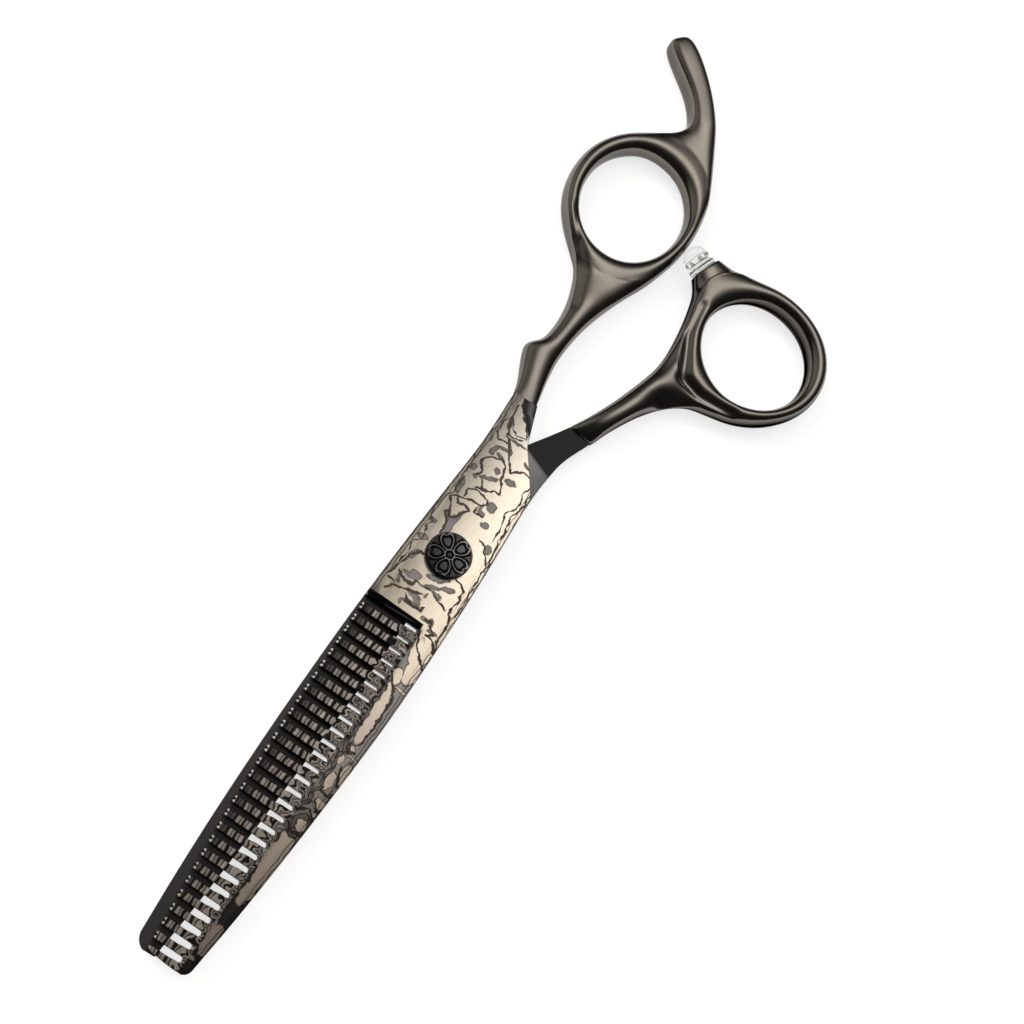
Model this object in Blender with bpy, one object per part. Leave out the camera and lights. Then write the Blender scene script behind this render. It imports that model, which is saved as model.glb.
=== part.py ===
"""Hairdresser's thinning shears, closed, lying on their back with the comb blade on top.

Frame: the pivot axis is the Z axis, the tip points to -Y and the finger rings to +Y.
z = 0 is the surface the shears lie on.  Lengths below are in millimetres.
"""
import math

import bmesh
import bpy
from mathutils import Matrix, Quaternion, Vector

MM = 0.001

# Heights
HANDLE_THICKNESS = 5.2
RIDE_HEIGHT = 2.6            # where the two blades meet
RIDE_GAP = 0.3               # running gap between the blades
COMB_THICKNESS = 1.85        # at the pivot
COMB_TIP_THICKNESS = 1.2
PLAIN_THICKNESS = 1.85
PLAIN_TIP_THICKNESS = 1.1
COMB_BOTTOM = RIDE_HEIGHT + RIDE_GAP / 2
PLAIN_TOP = RIDE_HEIGHT - RIDE_GAP / 2

# Lengths along Y
TIP_Y = -74.0
FIRST_SLOT_Y = -11.7         # where the comb's solid body ends
HEEL_Y = -11.5               # where the plain blade's cutting edge ends
COMB_ROOT_Y = 30.0           # where the comb blade is welded to its handle
PLAIN_ROOT_Y = 31.2          # where the plain blade is welded to its handle
WELD_GAP = 0.3

# Teeth
TOOTH_COUNT = 28
TOOTH_PITCH = 2.2
FIRST_TOOTH_Y = -14.1
TOOTH_WIDTH = 1.2
TOOTH_TIP_THICKNESS = 0.55
ROOT_SLOPE = 0.5             # the slot is this much longer on the top face than on the ride face
NOTCH_WIDTH = 0.7
NOTCH_DEPTH = 0.3
COMB_CORNER = 1.6            # rounding of the comb blade's tip corner
PLAIN_CORNER = 2.6           # rounding of the plain blade's tip corner
HEEL_LENGTH = 9.0            # over which the thin cutting edge grows into the body

# Edge heights and bevels of the blades, at the tip and at the pivot
COMB_SPINE_EDGE = (0.6, 1.1)
COMB_SPINE_BEVEL = (0.8, 1.25)
COMB_BODY_BEVEL = 1.4
COMB_BODY_EDGE_HEIGHT = 1.1
TOOTH_HOLLOW = 0.12
HOLLOW_START = 0.6           # from the slot roots to the start of the teeth's hollow
PLAIN_SPINE_EDGE = (0.6, 1.1)
CUTTING_EDGE_HEIGHT = 0.18

# Pivot hardware
SCREW_HEAD_RADIUS = 3.75
SCREW_HEAD_HEIGHT = 1.0
SCREW_SHANK_RADIUS = 1.4
SCREW_END = 1.1              # height of the shank's lower end
HEAD_GAP = 0.2               # between the comb blade and the screw head
NUT_BORE_RADIUS = 1.6
NUT_BORE_FLOOR = 0.9         # the bore is blind
NUT_SLEEVE_RADIUS = 2.3
NUT_FLANGE_RADIUS = 3.7
NUT_FLANGE_THICKNESS = 1.0
PIVOT_HOLE_RADIUS = 2.5
WASHER_RECESS_RADIUS = 3.4
WASHER_RECESS_DEPTH = 1.0
NUT_RECESS_RADIUS = 3.95
NUT_RECESS_TOP = 1.2
NUT_SLEEVE_TOP = 4.0
SPANNER_HOLE_RADIUS = 0.5
SPANNER_HOLE_OFFSET = 2.5
SPANNER_HOLE_DEPTH = 0.5
STACK_GAP = 0.1
WASHER_RADIUS = 3.2
SLIP_BORE_RADIUS = 2.55      # clears the nut's sleeve
SLIP_THICKNESS = 0.3
SPRING_BORE_RADIUS = 1.7
SPRING_THICKNESS = 0.25
SPRING_CONE = 0.2            # how much higher the spring washer's inner edge is

# Bumper
BUMPER_BASE = Vector((8.85, 70.05, RIDE_HEIGHT))      # centre of the boss's end face
BUMPER_DIRECTION = Vector((-0.922, 0.388, 0.0)).normalized()
BUMPER_HEAD = [(2.4, 0.2), (2.4, 1.0), (1.9, 1.2), (1.9, 1.6), (2.25, 1.8), (2.25, 2.5), (2.1, 2.6), (1.95, 3.3),
               (1.5, 3.9), (0.8, 4.3), (0.0, 4.4)]      # (radius, distance from the boss): flange, neck, dome
BUMPER_STEM_RADIUS = 1.1
BUMPER_STEM_LENGTH = 3.0
SOCKET_RADIUS = 1.3
SOCKET_DEPTH = 3.3

# Outlines seen from above: (y, x) points of smooth edges
COMB_SPINE = [(-72.5, 3.05), (-63, 4.15), (-48.5, 5.4), (-29, 6.55), (-14, 6.75), (0, 6.55), (16, 5.85)]
COMB_BODY_EDGE = [(-13, -7.35), (0, -6.8), (10, -6.25), (20, -5.75), (30, -6.0)]
TOOTH_TIPS = [(-75, -4.0), (-62, -5.15), (-49, -6.15), (-32, -6.75), (-12, -7.0)]
SLOT_ROOTS = [(-75, 0.9), (-67, 1.2), (-55, 1.75), (-44, 2.1), (-26, 2.55), (-12, 2.6)]
COMB_TAIL = [(16.0, 5.85), (23.2, 0.6), (30.0, -1.7)]      # straight right-hand edges behind the pivot
PLAIN_SPINE = [(-71.6, -6.2), (-63, -6.75), (-53, -7.2), (-40, -7.5), (-29, -7.55), (-14, -7.35), (0, -6.7),
               (12, -6.0)]
PLAIN_TAIL = [(12, -6.0), (16, -4.6), (24, 0.45), (28.3, 3.1), (31.2, 4.75)]
CUTTING_EDGE = [(-73, -2.4), (-65, -1.7), (-48, -0.7), (-31, 0.0), (-19, 0.45), (-11.5, 0.5)]
PLAIN_BODY_EDGE = [(-11.5, 0.5), (-8, 3.2), (-4, 5.9), (0, 6.3), (10, 6.1), (17, 6.15), (20.6, 6.35),
                   (25.5, 7.05), (31.2, 9.2)]

# Handles.  A ring has a centre, the hole's half axes, and (angle in degrees, outer radius) stations.
LIMB_SQUARENESS = 0.84       # cage corner position: 1 is square, lower is rounder
REST_SQUARENESS = 0.92
SHANK_STATION = 12           # first of the three ring stations that each limb grows from
REST_STATION = 2
THUMB_SHANK_STATION = 9
BOSS_STATION = 6
RING_SHRINKAGE = 1.03        # makes up for the subdivided ring's pull towards its centre
FINGER_RING_CENTRE = (-7.25, 71.5)
FINGER_HOLE = (9.1, 10.95)
FINGER_RING = [(0, 11.5), (22, 12.2), (42, 13.9), (70, 16.2), (100, 15.7), (118, 14.1),
               (137, 13.3), (155, 12.75), (172, 12.35), (-168, 12.25), (-148, 12.45), (-126, 12.9),
               (-104, 14.6), (-77, 16.0), (-50, 14.2), (-25, 12.0)]
THUMB_RING_CENTRE = (24.15, 61.75)
THUMB_HOLE = (9.8, 9.7)
THUMB_RING = [(0, 13.0), (22, 13.4), (45, 13.3), (67, 13.0), (90, 12.95), (110, 13.2),
              (130, 14.6), (152, 16.2), (172, 13.9), (-168, 13.1), (-136, 16.0), (-104, 14.8),
              (-82, 13.3), (-60, 12.4), (-40, 12.2), (-20, 12.6)]

# Limbs, from the ring outwards: (edge point, opposite edge point, half height)
FINGER_SHANK = [((-9.3, 55.2), (0.0, 55.4), 2.6), ((-7.5, 50.8), (-1.5, 50.8), 2.6),
                ((-6.8, 46.5), (-2.5, 46.5), 2.6), ((-6.9, 42.8), (-2.9, 42.8), 2.55),
                ((-7.4, 40.6), (-3.0, 40.6), 2.5), ((-9.2, 39.0), (-3.0, 39.2), 2.5),
                ((-9.0, 37.6), (-2.9, 37.8), 2.45), ((-7.7, 34.6), (-2.5, 34.6), 2.4),
                ((-6.5, 31.8), (-2.0, 31.8), 2.35), ((-6.05, 30.3), (-1.7, 30.3), 2.3)]
FINGER_REST = [((-0.9, 90.2), (-7.0, 90.4), 2.6), ((-3.6, 94.8), (-7.5, 93.2), 2.6),
               ((-6.4, 98.4), (-9.3, 96.5), 2.55), ((-9.7, 101.9), (-12.4, 99.0), 2.5),
               ((-12.4, 104.2), (-15.0, 100.8), 2.5), ((-14.9, 105.9), (-17.4, 102.6), 2.4),
               ((-16.6, 106.2), (-18.4, 103.8), 1.9)]
THUMB_SHANK = [((11.7, 52.0), (17.9, 45.4), 2.6), ((11.2, 48.2), (15.8, 43.4), 2.6),
               ((9.9, 43.8), (13.7, 40.7), 2.6), ((8.4, 39.2), (12.0, 37.5), 2.55),
               ((6.5, 34.7), (10.4, 34.0), 2.5), ((5.3, 32.4), (9.7, 32.1), 2.4),
               ((4.9, 31.5), (9.35, 31.5), 2.35)]
BUMPER_BOSS = [((13.0, 73.1), (9.4, 65.2), 2.5), ((10.9, 73.0), (8.4, 66.9), 2.45),
               ((10.0, 72.8), (7.9, 67.6), 2.4)]


def smooth(points, at):
    """Value at `at` of a smooth curve through sorted (position, value) points."""
    count = len(points)
    at = min(max(at, points[0][0]), points[-1][0])
    index = max(i for i in range(count - 1) if points[i][0] <= at or i == 0)
    slopes = []
    for i in (index, index + 1):
        before = points[max(i - 1, 0)]
        after = points[min(i + 1, count - 1)]
        slopes.append((after[1] - before[1]) / (after[0] - before[0]))
    (x0, y0), (x1, y1) = points[index], points[index + 1]
    width = x1 - x0
    t = (at - x0) / width
    rise = y0 * (1 + 2 * t) * (1 - t) ** 2 + y1 * t * t * (3 - 2 * t)
    return rise + width * (slopes[0] * t * (1 - t) ** 2 - slopes[1] * t * t * (1 - t))


def blend(a, b, t):
    """a at t = 0, b at t = 1."""
    return a + (b - a) * min(max(t, 0.0), 1.0)


# ---------------------------------------------------------------- Blender helpers

def clear_scene():
    for item in list(bpy.data.objects):
        bpy.data.objects.remove(item, do_unlink=True)


def metal(name, colour, roughness, metallic=1.0):
    material = bpy.data.materials.new(name)
    material.use_nodes = True
    shader = material.node_tree.nodes["Principled BSDF"]
    shader.inputs["Base Color"].default_value = (*colour, 1.0)
    shader.inputs["Roughness"].default_value = roughness
    shader.inputs["Metallic"].default_value = metallic
    return material


def new_object(name, mesh_builder, material=None):
    """Object from a bmesh whose points are in millimetres."""
    bmesh.ops.recalc_face_normals(mesh_builder, faces=mesh_builder.faces)
    mesh = bpy.data.meshes.new(name)
    mesh_builder.to_mesh(mesh)
    mesh_builder.free()
    mesh.transform(Matrix.Scale(MM, 4))
    item = bpy.data.objects.new(name, mesh)
    bpy.context.scene.collection.objects.link(item)
    if material:
        mesh.materials.append(material)
    return item


def shade(item, angle=35.0):
    item.data.shade_smooth()
    item.data.set_sharp_from_angle(angle=math.radians(angle))


def loft(loops):
    """Closed solid through loops of points that all have the same count."""
    builder = bmesh.new()
    rows = [[builder.verts.new(point) for point in loop] for loop in loops]
    count = len(rows[0])
    for lower, upper in zip(rows, rows[1:]):
        for i in range(count):
            j = (i + 1) % count
            builder.faces.new((lower[i], lower[j], upper[j], upper[i]))
    builder.faces.new(reversed(rows[0]))
    builder.faces.new(rows[-1])
    return builder


def turned(profile, segments=48):
    """Solid of revolution about Z from (radius, z) points that start and end on the axis."""
    builder = bmesh.new()
    rings = []
    for radius, z in profile:
        if radius == 0.0:
            rings.append([builder.verts.new((0.0, 0.0, z))])
            continue
        angles = [2 * math.pi * i / segments for i in range(segments)]
        rings.append([builder.verts.new((radius * math.cos(a), radius * math.sin(a), z)) for a in angles])
    closed = profile[0] != profile[-1] and profile[0][0] > 0.0
    pairs = list(zip(rings, rings[1:]))
    if closed:
        pairs.append((rings[-1], rings[0]))
    for lower, upper in pairs:
        for i in range(segments):
            j = (i + 1) % segments
            below, above = len(lower), len(upper)
            corners = [lower[i % below], lower[j % below], upper[j % above], upper[i % above]]
            unique = list(dict.fromkeys(corners))
            if len(unique) > 2:
                builder.faces.new(unique)
    return builder


def cutter(name, mesh_builder):
    item = new_object(name, mesh_builder)
    item.hide_render = True
    item.display_type = "WIRE"
    return item


def cut(item, tool):
    """Take the tool out of the item."""
    modifier = item.modifiers.new(tool.name, "BOOLEAN")
    modifier.operation = "DIFFERENCE"
    modifier.solver = "EXACT"
    modifier.object = tool


def subdivide(item, levels):
    modifier = item.modifiers.new("subdivision", "SUBSURF")
    modifier.levels = levels
    modifier.render_levels = levels


# ---------------------------------------------------------------- blades

def comb_spine(y):
    """x of the comb blade's right-hand edge."""
    if y < COMB_SPINE[0][0]:
        drop = COMB_SPINE[0][0] - y
        return COMB_SPINE[0][1] - COMB_CORNER + math.sqrt(max(COMB_CORNER ** 2 - drop ** 2, 0.0))
    if y <= COMB_TAIL[0][0]:
        return smooth(COMB_SPINE, y)
    first = 0 if y <= COMB_TAIL[1][0] else 1
    (y0, x0), (y1, x1) = COMB_TAIL[first:first + 2]
    return blend(x0, x1, (y - y0) / (y1 - y0))


def comb_section(y):
    """Corners of the comb blade's cross-section, as (x, z), counter-clockwise."""
    right = comb_spine(y)
    reach = (y - TIP_Y) / (0.0 - TIP_Y)
    top = COMB_BOTTOM + blend(COMB_TIP_THICKNESS, COMB_THICKNESS, reach)
    right_bevel = blend(*COMB_SPINE_BEVEL, reach)
    if y < FIRST_SLOT_Y - 0.8:
        left = smooth(TOOTH_TIPS, y)
        hollow = smooth(SLOT_ROOTS, y) + HOLLOW_START
        tip = COMB_BOTTOM + TOOTH_TIP_THICKNESS
        dip = TOOTH_HOLLOW
    else:
        left = smooth(COMB_BODY_EDGE, y)
        hollow = left + COMB_BODY_BEVEL
        tip = COMB_BOTTOM + COMB_BODY_EDGE_HEIGHT
        dip = 0.0
    hollow = min(hollow, right - right_bevel - 0.15)
    low = COMB_BOTTOM
    right_edge = low + blend(*COMB_SPINE_EDGE, reach)
    corners = [(left, low), (right, low), (right, right_edge), (right - right_bevel, top), (hollow, top)]
    for share in (1 / 3, 2 / 3):
        corners.append((blend(hollow, left, share), blend(top, tip, share) - dip))
    corners.append((left, tip))
    return corners


def slot_cutters():
    """One cutter per slot, running out past the tooth tips, with a round, sloping root."""
    builder = bmesh.new()
    slots = []
    first_tooth_edge = FIRST_TOOTH_Y + TOOTH_WIDTH / 2
    slots.append((FIRST_SLOT_Y - 0.6, first_tooth_edge))
    for i in range(TOOTH_COUNT - 1):
        upper = FIRST_TOOTH_Y - i * TOOTH_PITCH - TOOTH_WIDTH / 2
        slots.append((upper, upper - TOOTH_PITCH + TOOTH_WIDTH))
    for upper, lower in slots:
        middle = (upper + lower) / 2
        radius = abs(upper - lower) / 2
        root = smooth(SLOT_ROOTS, middle)
        loops = []
        for z, extra in ((COMB_BOTTOM - 0.5, -0.15), (COMB_BOTTOM + COMB_THICKNESS + 0.5, ROOT_SLOPE + 0.1)):
            end = root + extra - radius
            loop = [(-10.0, middle + radius, z), (-10.0, middle - radius, z)]
            for step in range(7):
                angle = math.radians(-90 + 30 * step)
                loop.append((end + radius * math.cos(angle), middle + radius * math.sin(angle), z))
            loops.append(loop)
        part = loft(loops)
        mesh = bpy.data.meshes.new("slot")
        part.to_mesh(mesh)
        part.free()
        builder.from_mesh(mesh)
        bpy.data.meshes.remove(mesh)
    return builder


def notch_cutters():
    """A small V in the tip of every tooth."""
    builder = bmesh.new()
    for i in range(TOOTH_COUNT):
        y = FIRST_TOOTH_Y - i * TOOTH_PITCH
        tip = smooth(TOOTH_TIPS, y)
        loops = []
        for z in (COMB_BOTTOM - 0.4, COMB_BOTTOM + COMB_THICKNESS):
            loops.append([
                (tip - NOTCH_DEPTH, y + NOTCH_WIDTH, z),
                (tip - NOTCH_DEPTH, y - NOTCH_WIDTH, z),
                (tip + NOTCH_DEPTH, y, z),
            ])
        part = loft(loops)
        mesh = bpy.data.meshes.new("notch")
        part.to_mesh(mesh)
        part.free()
        builder.from_mesh(mesh)
        bpy.data.meshes.remove(mesh)
    return builder


def make_comb_blade(material):
    stations = [TIP_Y, -73.8, -73.3, -72.5, -63, -52, -41, -30, -20, FIRST_SLOT_Y - 0.9, FIRST_SLOT_Y - 0.7,
                -5, 4, 11, 16, 19.4, 23.2, 26, COMB_ROOT_Y]
    loops = [[(x, y, z) for x, z in comb_section(y)] for y in stations]
    blade = new_object("comb_blade", loft(loops), material)
    cut(blade, cutter("slot_tool", slot_cutters()))
    cut(blade, cutter("notch_tool", notch_cutters()))
    top = COMB_BOTTOM + COMB_THICKNESS
    steps = [(PIVOT_HOLE_RADIUS, COMB_BOTTOM - 1, top - WASHER_RECESS_DEPTH),
             (WASHER_RECESS_RADIUS, None, top + 1)]
    cut(blade, cutter("comb_hole_tool", stepped_cylinder(steps)))
    return blade


def cylinder(radius, low, high, segments=48):
    return turned([(0.0, low), (radius, low), (radius, high), (0.0, high)], segments)


def stepped_cylinder(steps, segments=48):
    """Solid of stacked cylinders; each step is (radius, height it ends at), from the low end given first."""
    low = steps[0][1]
    profile = [(0.0, low)]
    for radius, _, high in steps:
        profile += [(radius, low), (radius, high)]
        low = high
    profile.append((0.0, low))
    return turned(profile, segments)


def plain_edge(y):
    """x of the plain blade's right-hand edge: cutting edge, heel, body and tang."""
    return smooth(CUTTING_EDGE if y <= HEEL_Y else PLAIN_BODY_EDGE, y)


def plain_spine(y):
    """x of the plain blade's left-hand edge."""
    if y < PLAIN_SPINE[0][0]:
        drop = PLAIN_SPINE[0][0] - y
        return PLAIN_SPINE[0][1] + PLAIN_CORNER - math.sqrt(max(PLAIN_CORNER ** 2 - drop ** 2, 0.0))
    return smooth(PLAIN_SPINE if y <= PLAIN_TAIL[0][0] else PLAIN_TAIL, y)


def plain_section(y):
    """Corners of the plain blade's cross-section, as (x, z)."""
    left = plain_spine(y)
    right = plain_edge(y)
    reach = (y - TIP_Y) / (0.0 - TIP_Y)
    thickness = blend(PLAIN_TIP_THICKNESS, PLAIN_THICKNESS, reach)
    top = PLAIN_TOP
    heel = blend(0.0, 1.0, (y - HEEL_Y) / HEEL_LENGTH)
    edge = blend(CUTTING_EDGE_HEIGHT, PLAIN_SPINE_EDGE[1], heel)
    land = blend(0.45, 0.85, heel)
    right_land = blend(left, right, land)
    left_land = blend(left, right, 0.13)
    outer = top - thickness
    knee = blend(right_land, right, 0.5)
    knee_z = blend(outer, top - edge, 0.42)
    left_edge = top - blend(*PLAIN_SPINE_EDGE, reach)
    return [(left, top), (left, left_edge), (left_land, outer), (right_land, outer), (knee, knee_z),
            (right, top - edge), (right, top)]


def make_plain_blade(material):
    stations = [TIP_Y, -73.8, -73.2, -72.4, -71.6, -62, -51, -40, -29, -19, HEEL_Y, -8, -4, 3, 12, 16, 20.6,
                24, 28.3, PLAIN_ROOT_Y]
    loops = [[(x, y, z) for x, z in plain_section(y)] for y in stations]
    blade = new_object("plain_blade", loft(loops), material)
    steps = [(NUT_RECESS_RADIUS, -1, NUT_RECESS_TOP), (PIVOT_HOLE_RADIUS, None, PLAIN_TOP + 1)]
    cut(blade, cutter("plain_hole_tool", stepped_cylinder(steps)))
    return blade


# ---------------------------------------------------------------- handles

def limb_loop(centre, across, half_width, half_height, squareness=LIMB_SQUARENESS):
    """Eight cage points around a limb, from top left over the top to the right and back underneath.

    The middle points stand out so that the subdivided limb keeps the full width and height.
    """
    corner = squareness
    middle = (6 - 2 * corner) / 4
    pattern = [(-corner, corner), (0, middle), (corner, corner), (middle, 0), (corner, -corner), (0, -middle),
               (-corner, -corner), (-middle, 0)]
    side = Vector((across[0], across[1], 0.0)).normalized()
    points = []
    for u, v in pattern:
        point = Vector((centre[0], centre[1], RIDE_HEIGHT)) + side * (u * half_width)
        point.z += v * half_height
        points.append(point)
    return points


def ring_loops(centre, hole, stations, half_height):
    """Cage loops round a finger ring.  Stations are (angle in degrees, outer radius)."""
    loops = []
    for angle, outer in stations:
        direction = Vector((math.cos(math.radians(angle)), math.sin(math.radians(angle)), 0.0))
        inner = 1.0 / math.hypot(direction.x / hole[0], direction.y / hole[1])
        middle = Vector((centre[0], centre[1], 0.0)) + direction * ((inner + outer) / 2 * RING_SHRINKAGE)
        loops.append(limb_loop(middle, direction, (outer - inner) / 2, half_height))
    return loops


def add_limb(builder, opening, loops):
    """Grow a limb from an opening's eight points through its loops, and close its end with four quads."""
    previous = opening
    for loop in loops:
        current = [builder.verts.new(point) for point in loop]
        for i in range(8):
            j = (i + 1) % 8
            builder.faces.new((previous[i], previous[j], current[j], current[i]))
        previous = current
    centre = builder.verts.new(sum((vert.co for vert in previous), Vector()) / 8)
    for i in range(0, 8, 2):
        builder.faces.new((previous[i - 1], previous[i], previous[(i + 1) % 8], centre))
    return previous


def crease_end(builder, loop):
    """Keep the end of a limb flat and sharp under subdivision."""
    layer = builder.edges.layers.float.get("crease_edge") or builder.edges.layers.float.new("crease_edge")
    for i in range(8):
        edge = builder.edges.get((loop[i], loop[(i + 1) % 8]))
        edge[layer] = 1.0
        edge.smooth = False


def handle_cage(loops, limbs):
    """Cage of a ring whose outer side opens into limbs.

    `limbs` is a list of (first station, limb loops, flat end) and each opening spans two ring segments.
    """
    builder = bmesh.new()
    rows = [[builder.verts.new(point) for point in loop] for loop in loops]
    count = len(rows)
    open_segments = {(first + step) % count for first, _, _ in limbs for step in (0, 1)}
    for i in range(count):
        for k in range(8):
            if i in open_segments and k in (2, 3):
                continue
            lower, upper = rows[i], rows[(i + 1) % count]
            builder.faces.new((lower[k], lower[(k + 1) % 8], upper[(k + 1) % 8], upper[k]))
    for first, limb, flat in limbs:
        a, b, c = (rows[(first + step) % count] for step in range(3))
        middle = b[3]
        builder.verts.remove(middle)
        opening = [a[2], b[2], c[2], c[3], c[4], b[4], a[4], a[3]]
        end = add_limb(builder, opening, limb)
        if flat:
            crease_end(builder, end)
    return builder


def limb_loops(rows, squareness=LIMB_SQUARENESS):
    """Cage loops from (edge point, opposite edge point, half height) rows."""
    loops = []
    for first, second, half_height in rows:
        a, b = Vector(first), Vector(second)
        loops.append(limb_loop((a + b) / 2, b - a, (b - a).length / 2, half_height, squareness))
    return loops


def make_finger_handle(material):
    loops = ring_loops(FINGER_RING_CENTRE, FINGER_HOLE, FINGER_RING, HANDLE_THICKNESS / 2)
    rest = limb_loops(FINGER_REST, REST_SQUARENESS)
    cage = handle_cage(loops, [(SHANK_STATION, limb_loops(FINGER_SHANK), True), (REST_STATION, rest, False)])
    handle = new_object("finger_handle", cage, material)
    handle.data.shade_smooth()
    subdivide(handle, 1)
    return handle


def make_thumb_handle(material):
    loops = ring_loops(THUMB_RING_CENTRE, THUMB_HOLE, THUMB_RING, HANDLE_THICKNESS / 2)
    shank = limb_loops(THUMB_SHANK)
    cage = handle_cage(loops, [(THUMB_SHANK_STATION, shank, True), (BOSS_STATION, limb_loops(BUMPER_BOSS), True)])
    handle = new_object("thumb_handle", cage, material)
    handle.data.shade_smooth()
    subdivide(handle, 1)
    socket = cutter("socket_tool", cylinder(SOCKET_RADIUS, -SOCKET_DEPTH, 2.0, 24))
    place_on_bumper_axis(socket, 5.0)
    cut(handle, socket)
    return handle


# ---------------------------------------------------------------- hardware

def place_on_bumper_axis(item, roll=0.0):
    """Stand an item built along +Z on the boss, turned by `roll` degrees about the bumper's own axis."""
    turn = BUMPER_DIRECTION.to_track_quat("Z", "Y") @ Quaternion((0.0, 0.0, 1.0), math.radians(roll))
    item.location = BUMPER_BASE * MM
    item.rotation_euler = turn.to_euler()


def make_bumper(material):
    stem = [(0.0, -BUMPER_STEM_LENGTH), (BUMPER_STEM_RADIUS, -BUMPER_STEM_LENGTH),
            (BUMPER_STEM_RADIUS, BUMPER_HEAD[0][1])]
    bumper = new_object("bumper", turned(stem + BUMPER_HEAD, 24), material)
    place_on_bumper_axis(bumper)
    shade(bumper)
    return bumper


def make_tension_screw(material):
    base = COMB_BOTTOM + COMB_THICKNESS + HEAD_GAP
    top = base + SCREW_HEAD_HEIGHT
    r = SCREW_HEAD_RADIUS
    shank = [(0.0, SCREW_END), (SCREW_SHANK_RADIUS - 0.2, SCREW_END), (SCREW_SHANK_RADIUS, SCREW_END + 0.2),
             (SCREW_SHANK_RADIUS, base)]
    head = [(r - 0.1, base), (r, base + 0.1), (r, top - 0.35), (r - 0.12, top - 0.15), (r - 0.4, top - 0.05),
            (2.2, top), (0.0, top)]
    screw = new_object("tension_screw", turned(shank + head), material)
    shade(screw)
    return screw


def make_washer(name, material, inner, outer, low, thickness, cone=0.0):
    profile = [(inner, low + cone), (outer, low), (outer, low + thickness), (inner, low + thickness + cone)]
    washer = new_object(name, turned(profile), material)
    shade(washer)
    return washer


def make_pivot_nut(material):
    profile = [(0.0, 0.0), (NUT_FLANGE_RADIUS - 0.2, 0.0), (NUT_FLANGE_RADIUS, 0.2),
               (NUT_FLANGE_RADIUS, NUT_FLANGE_THICKNESS), (NUT_SLEEVE_RADIUS, NUT_FLANGE_THICKNESS),
               (NUT_SLEEVE_RADIUS, NUT_SLEEVE_TOP), (NUT_BORE_RADIUS, NUT_SLEEVE_TOP),
               (NUT_BORE_RADIUS, NUT_BORE_FLOOR), (0.0, NUT_BORE_FLOOR)]
    nut = new_object("pivot_nut", turned(profile), material)
    for side, label in ((-1, "left"), (1, "right")):
        hole = cutter("spanner_hole_" + label, cylinder(SPANNER_HOLE_RADIUS, -1.0, SPANNER_HOLE_DEPTH, 16))
        hole.location.x = side * SPANNER_HOLE_OFFSET * MM
        hole.rotation_euler.z = math.radians(5)
        cut(nut, hole)
    shade(nut)
    return nut


def build():
    clear_scene()
    pattern_steel = metal("pattern_steel", (0.62, 0.56, 0.50), 0.30)
    dark_steel = metal("dark_steel", (0.05, 0.05, 0.055), 0.25)
    gunmetal = metal("gunmetal", (0.16, 0.15, 0.14), 0.18)
    black_screw = metal("black_screw", (0.03, 0.03, 0.035), 0.3)
    nut_steel = metal("nut_steel", (0.30, 0.30, 0.31), 0.35)
    spring_steel = metal("spring_steel", (0.5, 0.5, 0.5), 0.35)
    nylon = metal("nylon", (0.85, 0.85, 0.82), 0.5, 0.0)
    silicone = metal("silicone", (0.9, 0.92, 0.92), 0.15, 0.0)
    make_comb_blade(pattern_steel)
    make_finger_handle(gunmetal)
    make_plain_blade(dark_steel)
    make_thumb_handle(gunmetal)
    make_bumper(silicone)
    make_tension_screw(black_screw)
    recess_floor = COMB_BOTTOM + COMB_THICKNESS - WASHER_RECESS_DEPTH
    slip_base = recess_floor + STACK_GAP
    spring_base = slip_base + SLIP_THICKNESS + STACK_GAP
    make_washer("slip_washer", nylon, SLIP_BORE_RADIUS, WASHER_RADIUS, slip_base, SLIP_THICKNESS)
    make_washer("spring_washer", spring_steel, SPRING_BORE_RADIUS, WASHER_RADIUS, spring_base, SPRING_THICKNESS,
                SPRING_CONE)
    make_pivot_nut(nut_steel)


build()
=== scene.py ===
"""Looks of the thinning shears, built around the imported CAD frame.

Shapes are worked out in millimetres in the row frame: the pivot axis is Z, the blade tip points to -Y,
the finger rings to +Y, and z = 0 is the surface that the shears lie on.
"""
from math import atan2, cos, degrees, exp, hypot, pi, radians, sin, sqrt

import bmesh
import bpy
import numpy as np
from mathutils import Matrix, Vector
from mathutils.geometry import delaunay_2d_cdt


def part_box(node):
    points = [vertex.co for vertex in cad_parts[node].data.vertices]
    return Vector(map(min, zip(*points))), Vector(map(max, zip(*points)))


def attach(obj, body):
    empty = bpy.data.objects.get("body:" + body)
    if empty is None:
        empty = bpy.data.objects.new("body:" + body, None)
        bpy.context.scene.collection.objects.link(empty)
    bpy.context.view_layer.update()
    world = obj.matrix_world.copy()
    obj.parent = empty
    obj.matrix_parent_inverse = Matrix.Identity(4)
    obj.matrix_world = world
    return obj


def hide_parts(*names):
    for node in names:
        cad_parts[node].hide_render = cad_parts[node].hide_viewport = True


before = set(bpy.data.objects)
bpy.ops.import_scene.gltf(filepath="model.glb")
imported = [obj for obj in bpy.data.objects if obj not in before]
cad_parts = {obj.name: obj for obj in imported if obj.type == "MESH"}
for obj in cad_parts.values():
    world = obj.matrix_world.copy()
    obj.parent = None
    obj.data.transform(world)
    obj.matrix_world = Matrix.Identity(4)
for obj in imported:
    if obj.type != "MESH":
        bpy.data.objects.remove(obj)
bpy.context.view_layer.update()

MM = 0.001


def node_box(node):
    """Lowest and highest corner of a CAD node, in millimetres."""
    low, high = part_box(node)
    return low / MM, high / MM


COMB_LOW, COMB_HIGH = node_box("comb_blade")
PLAIN_LOW, PLAIN_HIGH = node_box("plain_blade")
SCREW_LOW, SCREW_HIGH = node_box("tension_screw")
NUT_HIGH = node_box("pivot_nut")[1]
HANDLE_LOW, HANDLE_HIGH = node_box("finger_handle")

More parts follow.
